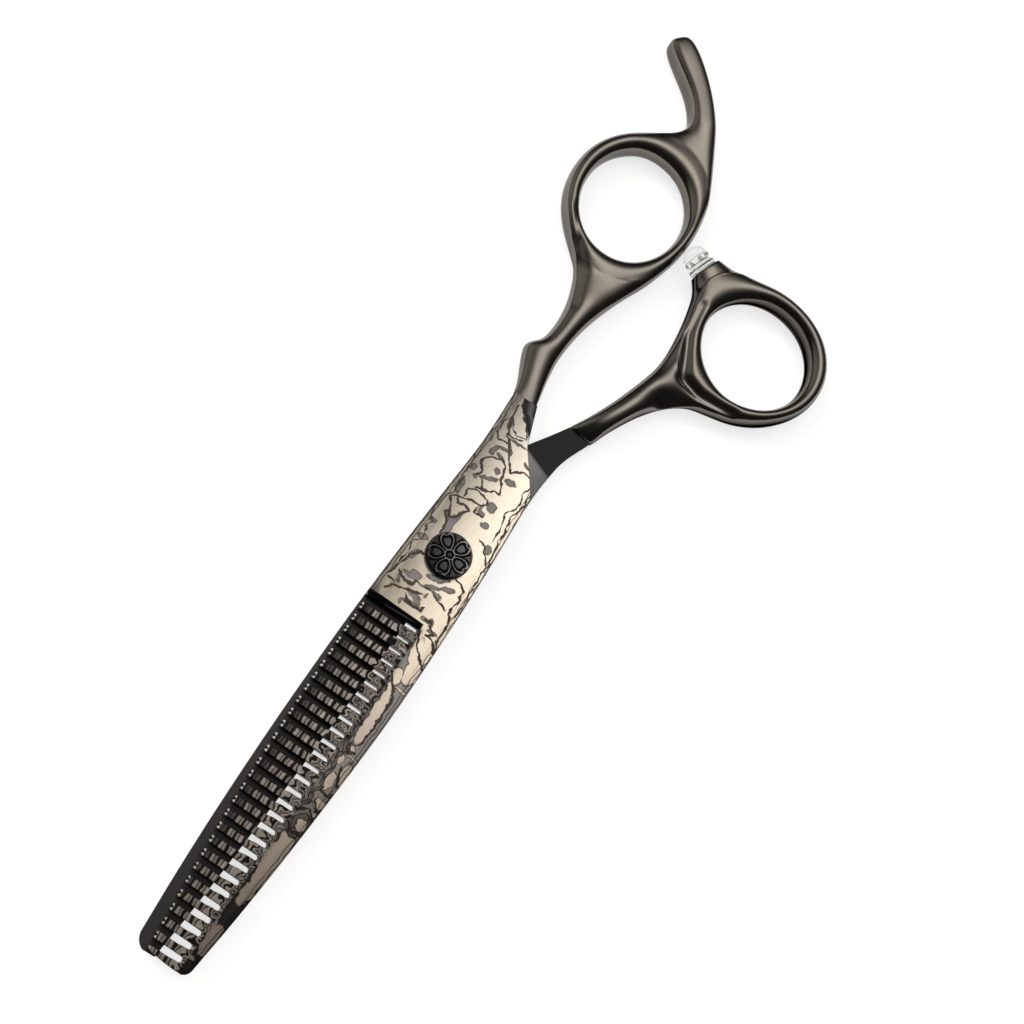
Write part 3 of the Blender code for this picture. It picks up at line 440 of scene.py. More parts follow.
def pattern_steel(s):
    """Etched layered steel: cream and champagne land, grey patches, dark layer lines, and striped teeth."""
    x, y, z = s.split(s.place)
    flat = s.join(x, y, 0)
    warped = flat
    for scale, reach in ((0.8, 0.9), (1.7, 0.32)):
        shift = s.vector("SUBTRACT", s.noise(flat, scale, 1, colour=True), (0.5, 0.5, 0.5))
        warped = s.vector("ADD", warped, s.vector("SCALE", shift, scale=reach))
    warped = s.vector("MULTIPLY_ADD", warped, (1, 1, 0), (0, 0, 1))
    patch = s.blobs(warped, ETCHED_PATCHES)
    island = s.blobs(warped, ISLANDS)
    pieces = [piece for width, points in LAYER_LINES for piece in strokes(width * 1.55, points)]
    stroke = s.blobs(warped, pieces)

    # The outermost layers follow the blade's long edges
    from_left = s.minus(x, s.curve(y, COMB_BODY_EDGE))
    from_edge = s.math("MINIMUM", from_left, s.minus(s.curve(y, COMB_SPINE), x))
    waver = s.stretched_noise(warped, (0.6, 0.5, 0), 1)
    layer = s.math("MULTIPLY_ADD", waver, 1.3, s.times(from_edge, 1.9))
    layer_line = s.rescale(s.math("PINGPONG", layer, 0.5), 0.06, 0.2, 1, 0, smoothly=True)
    layer_line = s.times(layer_line, s.rescale(from_edge, 1.25, 1))
    rim = s.times(s.rescale(from_edge, 0.22, 0.12), s.rescale(y, -12, -8))

    lines = s.math("MAXIMUM", s.rescale(stroke, -0.02, 0.04), s.times(layer_line, 0.9))
    lines = s.math("MAXIMUM", lines, rim)
    line_core = s.rescale(stroke, 0.10, 0.17, 0, 0.55)

    def outlined(distance):
        return s.times(s.rescale(s.math("ABSOLUTE", distance), 0.03, 0.13, 1, 0), 0.8)

    streaks = s.stretched_noise(flat, (9, 0.6, 1))
    # Cream darkens towards the tip, partly as the etching's own tone and partly as painted shade, since the
    # land there faces away from the main soft light; it also darkens towards the blade's left side
    cream = s.ramp(y, [(TIP_Y, (0.22, 0.18, 0.15)), (-60, (0.26, 0.21, 0.175)), (-48, (0.36, 0.30, 0.24)),
                       (-30, (0.48, 0.40, 0.34)), (-14, (0.72, 0.62, 0.50)), (-4, (0.80, 0.70, 0.58)),
                       (14, (0.80, 0.715, 0.60)), (23, (0.80, 0.72, 0.63)), (28, (0.66, 0.61, 0.55)),
                       (30, (0.50, 0.46, 0.42))])
    across = s.math("ADD", s.rescale(x, -6, 4, 0.27, 0.97), s.rescale(x, -4.9, -5.5, 0, 0.2))
    cream = s.vector("SCALE", cream, scale=s.math("MAXIMUM", across, s.rescale(y, -12, -16)))
    grey = s.ramp(y, [(TIP_Y, (0.014, 0.012, 0.011)), (-56, (0.016, 0.014, 0.013)),
                      (-46, (0.14, 0.125, 0.11)), (-38, (0.22, 0.20, 0.185)), (-20, (0.24, 0.225, 0.215)),
                      (-10, (0.17, 0.16, 0.155)), (0, (0.16, 0.15, 0.145)), (30, (0.10, 0.09, 0.085))])
    outline = s.ramp(y, [(TIP_Y, 0.008), (-40, (0.016, 0.012, 0.010)), (-10, (0.040, 0.031, 0.025)),
                         (20, (0.042, 0.033, 0.028))])
    body = s.mix(s.rescale(patch, -0.02, 0.05), cream, grey)
    body = s.mix(outlined(patch), body, outline)
    front = s.mix(s.rescale(island, -0.02, 0.04), grey, cream)
    front = s.mix(outlined(s.math("ADD", island, 0.05)), front, outline)
    land = s.mix(s.rescale(y, -12.5, -14), body, front)
    land = s.mix(lines, land, s.mix(line_core, outline, grey))

    # Dark plating beside the tongue at the root, with a painted highlight line along it
    tongue_edge = s.curve(y, [(23.2, 1), (24.6, -0.4), (25.7, -1.3), (26.5, -2.1), (27.4, -2.8),
                              (27.9, -3.7), (30, -4.5)])
    plated = s.rescale(s.minus(s.split(warped)[0], tongue_edge), 0, 0.1)
    plated = s.times(plated, s.rescale(y, 23.2, 23.4))
    plating_with_painted_highlight = [(0, 0.02), (0.5, 0.008), (1, 0.012), (1.8, 0.07), (2.4, 0.01)]
    land = s.mix(plated, land, s.ramp(s.minus(x, tongue_edge), plating_with_painted_highlight))

    # Teeth: bars that run along the blade, dark towards the tips
    beyond_root = s.minus(x, s.curve(y, SLOT_ROOTS))
    beyond_tip = s.minus(x, s.curve(y, TOOTH_TIPS))
    wobble = s.times(s.minus(s.noise(flat, 0.7, 1), 0.5), 0.55)
    drift = s.times(s.math("ADD", y, 14), 0.016)
    swirl = s.minus(s.stretched_noise(flat, (0.8, 1, 0), 0), 0.5)
    swirl = s.times(swirl, s.rescale(x, -0.8, 0.8, 0, 3.8))
    bar_x = s.math("ADD", s.math("ADD", s.math("ADD", x, wobble), drift), swirl)
    sides = []
    for bars in (TOOTH_BARS_LEFT, TOOTH_BARS_RIGHT):
        stops = [(-8, 0.008)]
        for centre, half, level in bars:
            stops += [(centre - half - 0.08, 0.008), (centre - half, level), (centre + half, level * 0.85),
                      (centre + half + 0.08, 0.008)]
        sides.append(s.ramp(bar_x, stops + [(4, 0.008)]))
    bars = s.mix(s.rescale(bar_x, -2, -1.95), *sides)
    bars = s.vector("MULTIPLY", bars, (1, 0.87, 0.76))
    dimming = s.rescale(s.stretched_noise(flat, (0.5, 0.45, 0), 1), 0.3, 0.7, 0.7, 1.15)
    bars = s.vector("SCALE", bars, scale=dimming)
    at_teeth = s.times(s.rescale(y, -12.3, -12.6), s.rescale(beyond_root, 0.55, 0.35))
    colour = s.mix(at_teeth, land, bars)
    # Painted highlight: the prong tips are coloured light so that they show as glints
    painted_prong_glint = s.times(at_teeth, s.rescale(beyond_tip, 0.42, 0.34))
    colour = s.mix(painted_prong_glint, colour, (0.60, 0.58, 0.55))

    # Painted shade: the chamfer before the first slot, the slots' walls and the blade's edges are coloured
    # black to stand for the shade on them
    chamfer = s.times(s.rescale(y, -11.3, -11.4), s.rescale(y, -12.9, -12.8))
    chamfer = s.times(chamfer, s.rescale(beyond_root, 0.3, 0.1))
    painted_black_shade = s.math("MAXIMUM", chamfer, s.rescale(s.upright("True Normal"), 0.45, 0.25))
    colour = s.mix(painted_black_shade, colour, (0.010, 0.009, 0.009))
    # Painted highlight: a thin light line across the black chamfer
    painted_chamfer_highlight = s.math("ABSOLUTE", s.math("MULTIPLY_ADD", x, -0.05, s.math("ADD", y, 11.85)))
    middle = s.math("ABSOLUTE", s.math("ADD", x, 1.2))
    painted_chamfer_highlight = s.times(s.rescale(painted_chamfer_highlight, 0.13, 0.03), s.rescale(middle, 3.2, 1.2))
    colour = s.mix(s.times(painted_chamfer_highlight, s.rescale(streaks, 0.2, 0.6, 0.3, 1)), colour, (0.36, 0.35, 0.34))
    colour = s.mix(s.times(s.rescale(streaks, 0.3, 0.75), 0.12), colour, (0.05, 0.045, 0.04))
    return s.finish(colour, 0.85, s.rescale(streaks, 0, 1, 0.22, 0.34), s.bump(streaks, 0.08, 0.01))


def dark_steel(s):
    """Black coated plain blade, satin beside the pivot and lighter along its spine where it sticks out
    beyond the comb's teeth; the darker coat under the teeth is painted shade.
    """
    x, y, z = s.split(s.place)
    grain = s.stretched_noise(s.place, (8, 0.7, 8), 3)
    speckle = s.noise(s.place, 14)
    bare = s.rescale(s.math("MULTIPLY_ADD", x, 0.35, y), 24.1, 23.5)
    bare = s.times(bare, s.rescale(y, 8, 9))
    # Painted shade: the coat under the comb's teeth is kept darker than the strip of spine that sticks out
    # beyond them
    spine = s.minus(s.curve(y, TOOTH_TIPS), x)
    spine_beyond_teeth = s.times(s.rescale(spine, -0.6, 0.2), s.rescale(y, -10, -12))
    coat_and_shade = s.mix(spine_beyond_teeth, (0.010, 0.009, 0.009), (0.040, 0.037, 0.036))
    coat_and_shade = s.mix(s.rescale(grain, 0.3, 0.8, 0, 0.3), coat_and_shade, (0.030, 0.028, 0.028))
    colour = s.mix(bare, coat_and_shade, s.mix(s.rescale(x, 0, 6), (0.21, 0.21, 0.21), (0.10, 0.10, 0.10)))
    return s.finish(colour, 0.8, s.rescale(grain, 0.2, 0.8, 0.30, 0.42), s.bump(speckle, 0.12, 0.01))


def gunmetal(s):
    """Polished gunmetal plating with faint hand-polishing marks and warm variation; its walls get painted
    shade, darker on the thumb handle.
    """
    x, y, z = s.split(s.place)
    cloud = s.noise(s.place, 0.12, 3)
    marks = s.noise(s.vector("MULTIPLY", s.place, (1, 0.25, 1)), 6, 4, 0.6)
    pits = s.noise(s.place, 22)
    colour = s.mix(s.rescale(cloud, 0.3, 0.7), (0.16, 0.15, 0.136), (0.20, 0.178, 0.155))
    thumb = s.rescale(s.math("MULTIPLY_ADD", y, -0.1, x), -1.8, -0.8)
    # Painted shade: walls are coloured darker and given a lower specular tint, more so on the thumb handle
    painted_wall_shade = s.times(s.rescale(s.upright(), 0.55, 0), s.rescale(thumb, 0, 1, 0.35, 0.93))
    colour = s.mix(painted_wall_shade, colour, (0.012, 0.012, 0.012))
    bump = s.bump(pits, 0.06, 0.004, s.bump(marks, 0.05, 0.02))
    return s.finish(colour, 1, s.rescale(marks, 0.3, 0.7, 0.13, 0.22), bump,
                    Specular_Tint=s.mix(painted_wall_shade, (1, 1, 1), (0.05, 0.05, 0.05)))


def black_screw(s):
    """Blackened steel with the flower's ridges coloured light, partly rubbed bright and partly painted
    highlight, which is brighter towards one side.
    """
    x, y, z = s.split(s.place)
    grain = s.noise(s.place, 9, 3)
    # Painted highlight: the ridges' light grows towards one side
    toward_lit_side = s.math("MULTIPLY_ADD", x, 0.75, s.times(y, 0.65))
    lit = s.rescale(s.math("MULTIPLY_ADD", grain, 2, toward_lit_side), -2.5, 4.5, 0.25, 1.6)
    shades = s.ramp(s.minus(z, SCREW_HIGH.z), [
        (-0.25, 0.004), (-0.185, 0.006), (-0.155, 0.035), (-0.12, 0.05), (-0.095, 0.06),
        (-0.065, 0.24), (-0.03, 0.26), (0, 0.02)])
    colour = s.vector("SCALE", s.vector("MULTIPLY", shades, (1, 0.97, 0.95)), scale=lit)
    return s.finish(colour, 0.9, s.rescale(grain, 0.3, 0.7, 0.26, 0.38), s.bump(grain, 0.08, 0.01))


def turned_steel(s, colour, darker, roughness):
    """Turned steel with faint circular tool marks about the pivot axis."""
    x, y, z = s.split(s.place)
    radius = s.vector("LENGTH", s.join(x, y, 0))
    rings = s.noise(s.join(s.times(radius, 14), 0, 0), 1)
    return s.finish(s.mix(rings, colour, darker), 1,
                    s.rescale(rings, 0.2, 0.8, roughness - 0.06, roughness + 0.08),
                    s.bump(rings, 0.15, 0.01))


def nylon(s):
    mottle = s.noise(s.place, 3, 3)
    colour = s.mix(mottle, (0.80, 0.79, 0.75), (0.86, 0.85, 0.82))
    return s.finish(colour, 0, 0.5, s.bump(mottle, 0.1, 0.01))


def silicone(s):
    """Clear silicone with faint flow marks and a dark, broken band of painted refraction under its head."""
    flow = s.noise(s.place, 0.9)
    along = s.minus(s.vector("DOT_PRODUCT", s.place, BUMPER_DIRECTION), BUMPER_BASE.dot(BUMPER_DIRECTION))
    # Painted reflection: a dark band in the colour stands for refraction under the head
    painted_refraction_band = s.times(s.rescale(along, 1.1, 1.3), s.rescale(along, 2.3, 2.1))
    painted_refraction_band = s.times(painted_refraction_band, s.rescale(s.noise(s.place, 1.3, 1), 0.42, 0.50))
    clear = s.mix(flow, (0.93, 0.94, 0.93), (0.98, 0.98, 0.97))
    return s.finish(s.mix(painted_refraction_band, clear, (0.20, 0.18, 0.14)), 0, 0.06, s.bump(flow, 0.1, 0.05), IOR=1.41,
                    Transmission_Weight=0.95)


def studio_floor(s):
    """White light table, which glows softly so that shadows on it stay faint."""
    colour = s.mix(s.noise(s.place, 0.05), (0.42, 0.42, 0.42), (0.43, 0.43, 0.43))
    return s.finish(colour, None, 0.6, None, Emission_Color=(1, 1, 1), Emission_Strength=0.68,
                    Specular_IOR_Level=0.15)


MATERIALS = {}
for name, build, *values in (
        ("pattern_steel", pattern_steel), ("dark_steel", dark_steel), ("gunmetal", gunmetal),
        ("black_screw", black_screw), ("nylon", nylon), ("silicone", silicone),
        ("studio_floor", studio_floor),
        ("nut_steel", turned_steel, (0.30, 0.30, 0.31), (0.22, 0.22, 0.23), 0.32),
        ("spring_steel", turned_steel, (0.52, 0.52, 0.52), (0.42, 0.42, 0.43), 0.3)):
    MATERIALS[name] = build(Shader(bpy.data.materials.new(name)), *values)


# ---------------------------------------------------------------- mesh helpers

def new_object(name, builder, material):
    """Object from a bmesh in millimetres."""
    mesh = bpy.data.meshes.new(name)
    builder.to_mesh(mesh)
    builder.free()
    mesh.transform(Matrix.Scale(MM, 4))
    mesh.materials.append(MATERIALS[material])
    item = bpy.data.objects.new(name, mesh)
    bpy.context.scene.collection.objects.link(item)
    return item


def new_piece(name, builder, body, node, slot, sharp_degrees):
    """Object that rides on a body and stands for a CAD node."""
    bmesh.ops.recalc_face_normals(builder, faces=builder.faces)
    piece = new_object(name, builder, slot)
    piece.data.shade_smooth()
    piece.data.set_sharp_from_angle(angle=radians(sharp_degrees))
    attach(piece, body)
    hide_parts(node)
    return piece


def ring(builder, radius, z, steps=CIRCLE_STEPS):
    """Circle of vertices about the pivot axis, or one vertex for radius 0."""
    places = circle_points(radius, steps) if radius else [(0, 0)]
    return [builder.verts.new((x, y, z)) for x, y in places]


def bridge(builder, lower, upper):
    """Faces between two closed loops of vertices, either of which may be a single point."""
    count = max(len(lower), len(upper))
    for i in range(count):
        j = (i + 1) % count
        corners = [loop[k % len(loop)] for loop, k in ((lower, i), (lower, j), (upper, j), (upper, i))]
        builder.faces.new(list(dict.fromkeys(corners)))


def turned(profile, steps=CIRCLE_STEPS):
    """Surface of revolution about Z from (radius, z) points, closed if it starts off the axis."""
    builder = bmesh.new()
    rings = [ring(builder, radius, z, steps) for radius, z in profile]
    for lower, upper in zip(rings, rings[1:]):
        bridge(builder, lower, upper)
    if profile[0][0] > 0:
        bridge(builder, rings[-1], rings[0])
    return builder


def rounded(profile, radius, steps=4):
    """The profile with its corners replaced by arcs of about this radius."""
    points = [Vector(point) for point in profile]
    result = [points[0]]
    for before, corner, after in zip(points, points[1:], points[2:]):
        reach = min(radius, (corner - before).length * 0.45, (after - corner).length * 0.45)
        start = corner + (before - corner).normalized() * reach
        end = corner + (after - corner).normalized() * reach
        for i in range(steps + 1):
            t = i / steps
            result.append(start * (1 - t) ** 2 + corner * (2 * t * (1 - t)) + end * t * t)
    result.append(points[-1])
    return [(p.x if p.x > 1e-6 else 0, p.y) for p in result]


def offset_inwards(points, distance):
    """Closed counter-clockwise outline moved inwards."""
    after = np.roll(points, -1, axis=0) - points
    after /= np.maximum(np.linalg.norm(after, axis=1, keepdims=True), 1e-9)
    both = after + np.roll(after, 1, axis=0)
    normals = np.stack([-both[:, 1], both[:, 0]], axis=1)
    lengths = np.maximum(np.linalg.norm(normals, axis=1, keepdims=True), 1e-9)
    return points + normals / lengths * np.minimum(2 / lengths, 1.6) * distance


def cap(builder, outline, outline_verts, hole_radius, hole_verts, height, extra_points=(), creases=()):
    """Triangulated face inside an outline, around a round hole, with extra points and crease lines."""
    points = [Vector(p) for p in outline] + [Vector(p) for p in circle_points(hole_radius, len(hole_verts))]
    count, hole_count = len(outline), len(hole_verts)
    known = list(outline_verts) + list(hole_verts)
    edges = [(i, (i + 1) % count) for i in range(count)]
    edges += [(count + i, count + (i + 1) % hole_count) for i in range(hole_count)]
    for crease in creases:
        first = len(points)
        points += [Vector(p) for p in crease]
        edges += [(first + i, first + i + 1) for i in range(len(crease) - 1)]
    points += [Vector(p) for p in extra_points]
    made, _, triangles, sources, _, _ = delaunay_2d_cdt(points, edges, [list(range(count))], 1, 1e-5)
    verts = []
    for place, origin in zip(made, sources):
        fixed = [i for i in origin if i < len(known)]
        verts.append(known[fixed[0]] if fixed else builder.verts.new((*place, height(*place))))
    for triangle in triangles:
        centre = sum((made[i] for i in triangle), Vector((0, 0))) / 3
        if centre.length >= hole_radius * 0.999:
            builder.faces.new([verts[i] for i in triangle])
    for vert in [v for v in builder.verts if not v.link_faces and v not in known]:
        builder.verts.remove(vert)


def plate(outline, slope, top, bottom, top_hole, bottom_hole, step_z, rounding, extra_points, creases=()):
    """Closed plate with rounded edges, from a counter-clockwise outline.

    top and bottom give the faces' heights at (x, y); slope moves an outline point in x on its way
    up; top_hole and bottom_hole are radii of a stepped hole about the origin, which changes size
    at step_z.
    """
    builder = bmesh.new()
    outline = np.array(outline, float)
    sloped = outline + np.array([slope, np.zeros(len(slope))]).T
    loops = []
    levels = ((0.7, 0, False), (0, 0.7, False), (0, 1, True), (0.3, 0.3, True), (1, 0, True))
    for inset, inward_z, on_top in levels:
        moved = offset_inwards(sloped if on_top else outline, inset * rounding)
        verts = []
        for x, y in moved:
            z = top(x, y) - inward_z * rounding if on_top else bottom(x, y) + inward_z * rounding
            verts.append(builder.verts.new((x, y, z)))
        loops.append((moved, verts))
    for (_, lower), (_, upper) in zip(loops, loops[1:]):
        bridge(builder, lower, upper)
    hole = ((bottom_hole, bottom(0, 0)), (bottom_hole, step_z), (top_hole, step_z), (top_hole, top(0, 0)))
    rings = [ring(builder, radius, z) for radius, z in hole]
    for lower, upper in zip(rings, rings[1:]):
        bridge(builder, lower, upper)
    cap(builder, *loops[-1], top_hole, rings[-1], top, extra_points, creases)
    cap(builder, *loops[0], bottom_hole, rings[0], bottom)
    return builder


# ---------------------------------------------------------------- comb blade

def comb_spine(y):
    """x of the comb blade's right-hand edge."""
    start_y, start_x = COMB_SPINE[0]
    if y < start_y:
        return start_x - COMB_CORNER + sqrt(max(COMB_CORNER ** 2 - (start_y - y) ** 2, 0))
    if y <= COMB_TAIL[0][0]:
        return smooth(COMB_SPINE, y)
    first = 0 if y <= COMB_TAIL[1][0] else 1
    (y0, x0), (y1, x1) = COMB_TAIL[first:first + 2]
    return blend(x0, x1, (y - y0) / (y1 - y0))


def spine_bevel(y):
    """Width of the bevel along the comb blade's right-hand edge."""
    return blend(TIP_BEVEL, PIVOT_BEVEL, reach_from_tip(y))


def hollow_start(y):
    """x where the land ends and the teeth's hollow begins."""
    return smooth(SLOT_ROOTS, y) + 0.95


def comb_top(x, y):
    land = blend(COMB_BOTTOM + COMB_TIP_THICKNESS, COMB_TOP, reach_from_tip(y))
    bevel = spine_bevel(y)
    fade = 1 - ease((y - 14) / 8)
    height = land - clamp((x - (comb_spine(y) - bevel)) / bevel) * SPINE_BEVEL_DROP * fade
    if y < BODY_END_Y - 0.05:
        start = hollow_start(y)
        s = clamp((start - x) / (start - smooth(TOOTH_TIPS, y)))
        return height - s * (land - COMB_BOTTOM - TOOTH_TIP_THICKNESS) - 0.45 * s * (1 - s)
    edge = smooth(COMB_BODY_EDGE, y)
    height -= clamp((edge + BODY_BEVEL_WIDTH - x) / BODY_BEVEL_WIDTH) * BODY_BEVEL_DROP
    beside = clamp((smooth(SLOT_ROOTS, y) + 0.3 - x) / 0.5)
    fall = beside * CHAMFER_DROP * clamp((CHAMFER_START_Y - y) / (CHAMFER_START_Y - BODY_END_Y))
    return min(height, max(land - fall, COMB_BOTTOM + 0.5))


def comb_outline():
    """Counter-clockwise outline and how far each point moves in x from the bottom face to the top face."""
    points, slopes = [], []

    def add(x, y, slope=0):
        points.append((x, y))
        slopes.append(slope)

    for y in spread(COMB_ROOT_Y, BODY_END_Y + 0.4, 1.4):
        add(smooth(COMB_BODY_EDGE, y), y)
    add(smooth(COMB_BODY_EDGE, BODY_END_Y) + 0.35, BODY_END_Y)
    upper = BODY_END_Y
    notch = [(0.28, TOOTH_WIDTH / 2), (0.02, NOTCH_HALF_WIDTH + 0.1),
             (0.05, NOTCH_HALF_WIDTH - 0.1), (NOTCH_DEPTH, 0)]
    notch += [(x, -y) for x, y in notch[2::-1]]
    for index in range(TOOTH_COUNT):
        centre = FIRST_TOOTH_Y - index * TOOTH_PITCH
        lower = centre + TOOTH_WIDTH / 2
        narrowing = blend(0.10, SLOT_NARROWING, (lower - TIP_Y) / (BODY_END_Y - TIP_Y))
        middle, radius = (upper + lower + narrowing) / 2, (upper - lower - narrowing) / 2
        tip = smooth(TOOTH_TIPS, centre)
        end = smooth(SLOT_ROOTS, middle) - radius
        for x in spread(tip + 0.45, end, 0.55)[1:]:
            add(x, upper)
        for step in range(1, 8):
            angle = radians(90 - 22.5 * step)
            add(end + radius * cos(angle), middle + radius * sin(angle), ROOT_SLOPE * cos(angle))
        for x in spread(end, tip + 0.45, 0.4)[:-1]:
            add(x, lower + narrowing * ease((x + 0.9) / 1.2))
        if index < TOOTH_COUNT - 1:
            for inwards, across in notch:
                add(tip + inwards, centre + across)
            upper = centre - TOOTH_WIDTH / 2
    last = smooth(TOOTH_TIPS, TIP_Y + 0.6)
    for inwards, rise in ((0.2, 1.02), (0, 0.85), (0.1, 0.65)):
        add(last + inwards, TIP_Y + rise)
    for x in spread(last + 0.6, comb_spine(TIP_Y + 0.001) - 0.2, 0.5):
        add(x, TIP_Y + 0.45 * clamp((0.3 - x) / 4.2) ** 1.5)
    start_y, tail_y = COMB_SPINE[0][0], COMB_TAIL[0][0]
    for y in (spread(TIP_Y + 0.02, start_y, 0.25) + spread(start_y, tail_y, 1.6)[1:]
              + spread(tail_y, COMB_ROOT_Y, 0.9)[1:]):
        add(comb_spine(y), y)
    return points, slopes


def comb_details():
    """Extra points on the teeth and crease lines along the bevels of the comb blade's top face."""
    extra = []
    for index in range(TOOTH_COUNT):
        centre = FIRST_TOOTH_Y - index * TOOTH_PITCH
        for x in spread(smooth(TOOTH_TIPS, centre) + 0.8, hollow_start(centre) - 0.3, 0.55):
            extra += [(x, centre + side) for side in (-0.25, 0.25) if centre + side > TIP_Y + 0.3]
    right = [(comb_spine(y) - spine_bevel(y), y) for y in spread(TIP_Y + 2.4, 21, 1.6)]
    left = [(smooth(COMB_BODY_EDGE, y) + BODY_BEVEL_WIDTH, y)
            for y in spread(BODY_END_Y + 0.8, COMB_ROOT_Y - 0.3, 1.6)]
    hollow = [(hollow_start(y), y) for y in spread(TIP_Y + 1, BODY_END_Y, 1.1)]
    chamfer = [(x, CHAMFER_START_Y) for x in spread(-5.3, 2.4, 0.6)]
    return extra, [right, left, hollow, chamfer]


def make_comb_blade():
    builder = plate(*comb_outline(), comb_top, lambda x, y: COMB_BOTTOM, WASHER_RECESS_RADIUS,
                    PIVOT_HOLE_RADIUS, COMB_TOP - WASHER_RECESS_DEPTH, 0.1, *comb_details())
    return new_piece("comb_blade_shell", builder, "finger_half", "comb_blade", "pattern_steel", 17)


# ---------------------------------------------------------------- plain blade

def plain_edge(y):
    """x of the plain blade's right-hand edge: cutting edge, heel, body and tang."""
    return smooth(CUTTING_EDGE if y <= HEEL_Y else PLAIN_BODY_EDGE, y)


def plain_spine(y):
    """x of the plain blade's left-hand edge."""
    start_y, start_x = PLAIN_SPINE[0]
    if y < start_y:
        return start_x + PLAIN_CORNER - sqrt(max(PLAIN_CORNER ** 2 - (start_y - y) ** 2, 0))
    return smooth(PLAIN_SPINE if y <= PLAIN_TAIL[0][0] else PLAIN_TAIL, y)


def plain_outer(x, y):
    """Height of the plain blade's outer (lower) face."""
    left, right = plain_spine(y), plain_edge(y)
    reach = reach_from_tip(y)
    thickness = blend(PLAIN_TIP_THICKNESS, PLAIN_TOP - PLAIN_BOTTOM, reach)
    across = clamp((x - left) / max(right - left, 0.1))
    heel = clamp((y - HEEL_Y) / 9)
    land_end = blend(0.45, 0.85, heel)
    rise = ease((across - land_end) / (1 - land_end)) * (thickness - blend(0.2, 1.1, heel))
    rise += clamp((0.13 - across) / 0.13) * (thickness - blend(0.6, 1.1, reach))
    return PLAIN_TOP - thickness + rise


def plain_outline():
    start_y, start_x = PLAIN_SPINE[0]
    points = [(plain_spine(y), y) for y in spread(PLAIN_ROOT_Y, start_y, 1.5)]
    for step in range(1, 9):
        angle = radians(8.5 * step)
        points.append((start_x + PLAIN_CORNER * (1 - cos(angle)), start_y - PLAIN_CORNER * sin(angle)))
    last_x, last_y = points[-1]
    for x in spread(last_x, plain_edge(TIP_Y) - 0.1, 0.4)[1:]:
        points.append((x, blend(last_y, TIP_Y + 0.05, (x - last_x) / 1.2)))
    return points + [(plain_edge(y), y) for y in spread(TIP_Y + 0.3, PLAIN_ROOT_Y, 1.2)]


def make_plain_blade():
    """Built upside down in z, because its stepped hole opens downwards, then turned over."""
    flipped = [(-x, y) for x, y in reversed(plain_outline())]
    extra = []
    for y in spread(TIP_Y + 2, PLAIN_ROOT_Y - 0.6, 1.2):
        for share in (0.13, 0.3, 0.45, 0.55, 0.65, 0.75, 0.85, 0.93):
            x = -blend(plain_spine(y), plain_edge(y), share)
            if hypot(x, y) > NUT_RECESS_RADIUS + 0.2:
                extra.append((x, y))
    builder = plate(flipped, [0] * len(flipped), lambda x, y: -plain_outer(-x, y), lambda x, y: -PLAIN_TOP,
                    NUT_RECESS_RADIUS, PIVOT_HOLE_RADIUS, -NUT_RECESS_TOP, 0.07, extra)
    bmesh.ops.transform(builder, matrix=Matrix.Rotation(pi, 4, "Y"), verts=builder.verts)
    return new_piece("plain_blade_shell", builder, "thumb_half", "plain_blade", "dark_steel", 25)


# ---------------------------------------------------------------- handles

def limb_loop(first, second, low, high, squareness):
    """Eight cage points around a limb, from top left over the top to the right and back underneath."""
    a, b = Vector((*first, 0)), Vector((*second, 0))
    centre, side = (a + b) / 2, (b - a) / 2
    centre.z = (low + high) / 2
    rise = Vector((0, 0, (high - low) / 2))
    corner, middle = squareness, (3 - squareness) / 2
    pattern = [(-corner, corner), (0, middle), (corner, corner), (middle, 0)]
    pattern += [(-u, -v) for u, v in pattern]
    return [centre + side * u + rise * v for u, v in pattern]


def ring_loops(centre, hole, stations):
    loops = []
    for angle, outer in stations:
        direction = Vector((cos(radians(angle)), sin(radians(angle))))
        inner = 1 / hypot(direction.x / hole[0], direction.y / hole[1])
        middle = (inner + outer) / 2 * RING_SHRINKAGE
        half = (outer - inner) / 2
        edges = [Vector(centre) + direction * distance for distance in (middle - half, middle + half)]
        loops.append(limb_loop(*edges, HANDLE_LOW.z, HANDLE_HIGH.z, RING_SQUARENESS))
    return loops


def add_limb(builder, opening, loops, flat_end):
    """Grow a limb from an opening's eight points through its loops, and close its end with four quads."""
    previous = opening
    for loop in loops:
        current = [builder.verts.new(point) for point in loop]
        bridge(builder, previous, current)
        previous = current
    centre = builder.verts.new(sum((vert.co for vert in previous), Vector()) / 8)
    for i in range(0, 8, 2):
        builder.faces.new((previous[i - 1], previous[i], previous[(i + 1) % 8], centre))
    if flat_end:
        layers = builder.edges.layers.float
        layer = layers.get("crease_edge") or layers.new("crease_edge")
        for i in range(8):
            builder.edges.get((previous[i], previous[(i + 1) % 8]))[layer] = 1


def handle_cage(loops, limbs):
    """Cage of a ring whose outer side opens into limbs: (first station, limb rows, flat end)."""
    builder = bmesh.new()
    rows = [[builder.verts.new(point) for point in loop] for loop in loops]
    count = len(rows)
    open_segments = {(first + step) % count for first, _, _ in limbs for step in (0, 1)}
    for i in range(count):
        for k in range(8):
            if i not in open_segments or k not in (2, 3):
                lower, upper = rows[i], rows[(i + 1) % count]
                builder.faces.new((lower[k], lower[(k + 1) % 8], upper[(k + 1) % 8], upper[k]))
    for first, limb, flat in limbs:
        a, b, c = (rows[(first + step) % count] for step in range(3))
        builder.verts.remove(b[3])
        opening = [a[2], b[2], c[2], c[3], c[4], b[4], a[4], a[3]]
        add_limb(builder, opening, [limb_loop(*row) for row in limb], flat)
    return builder


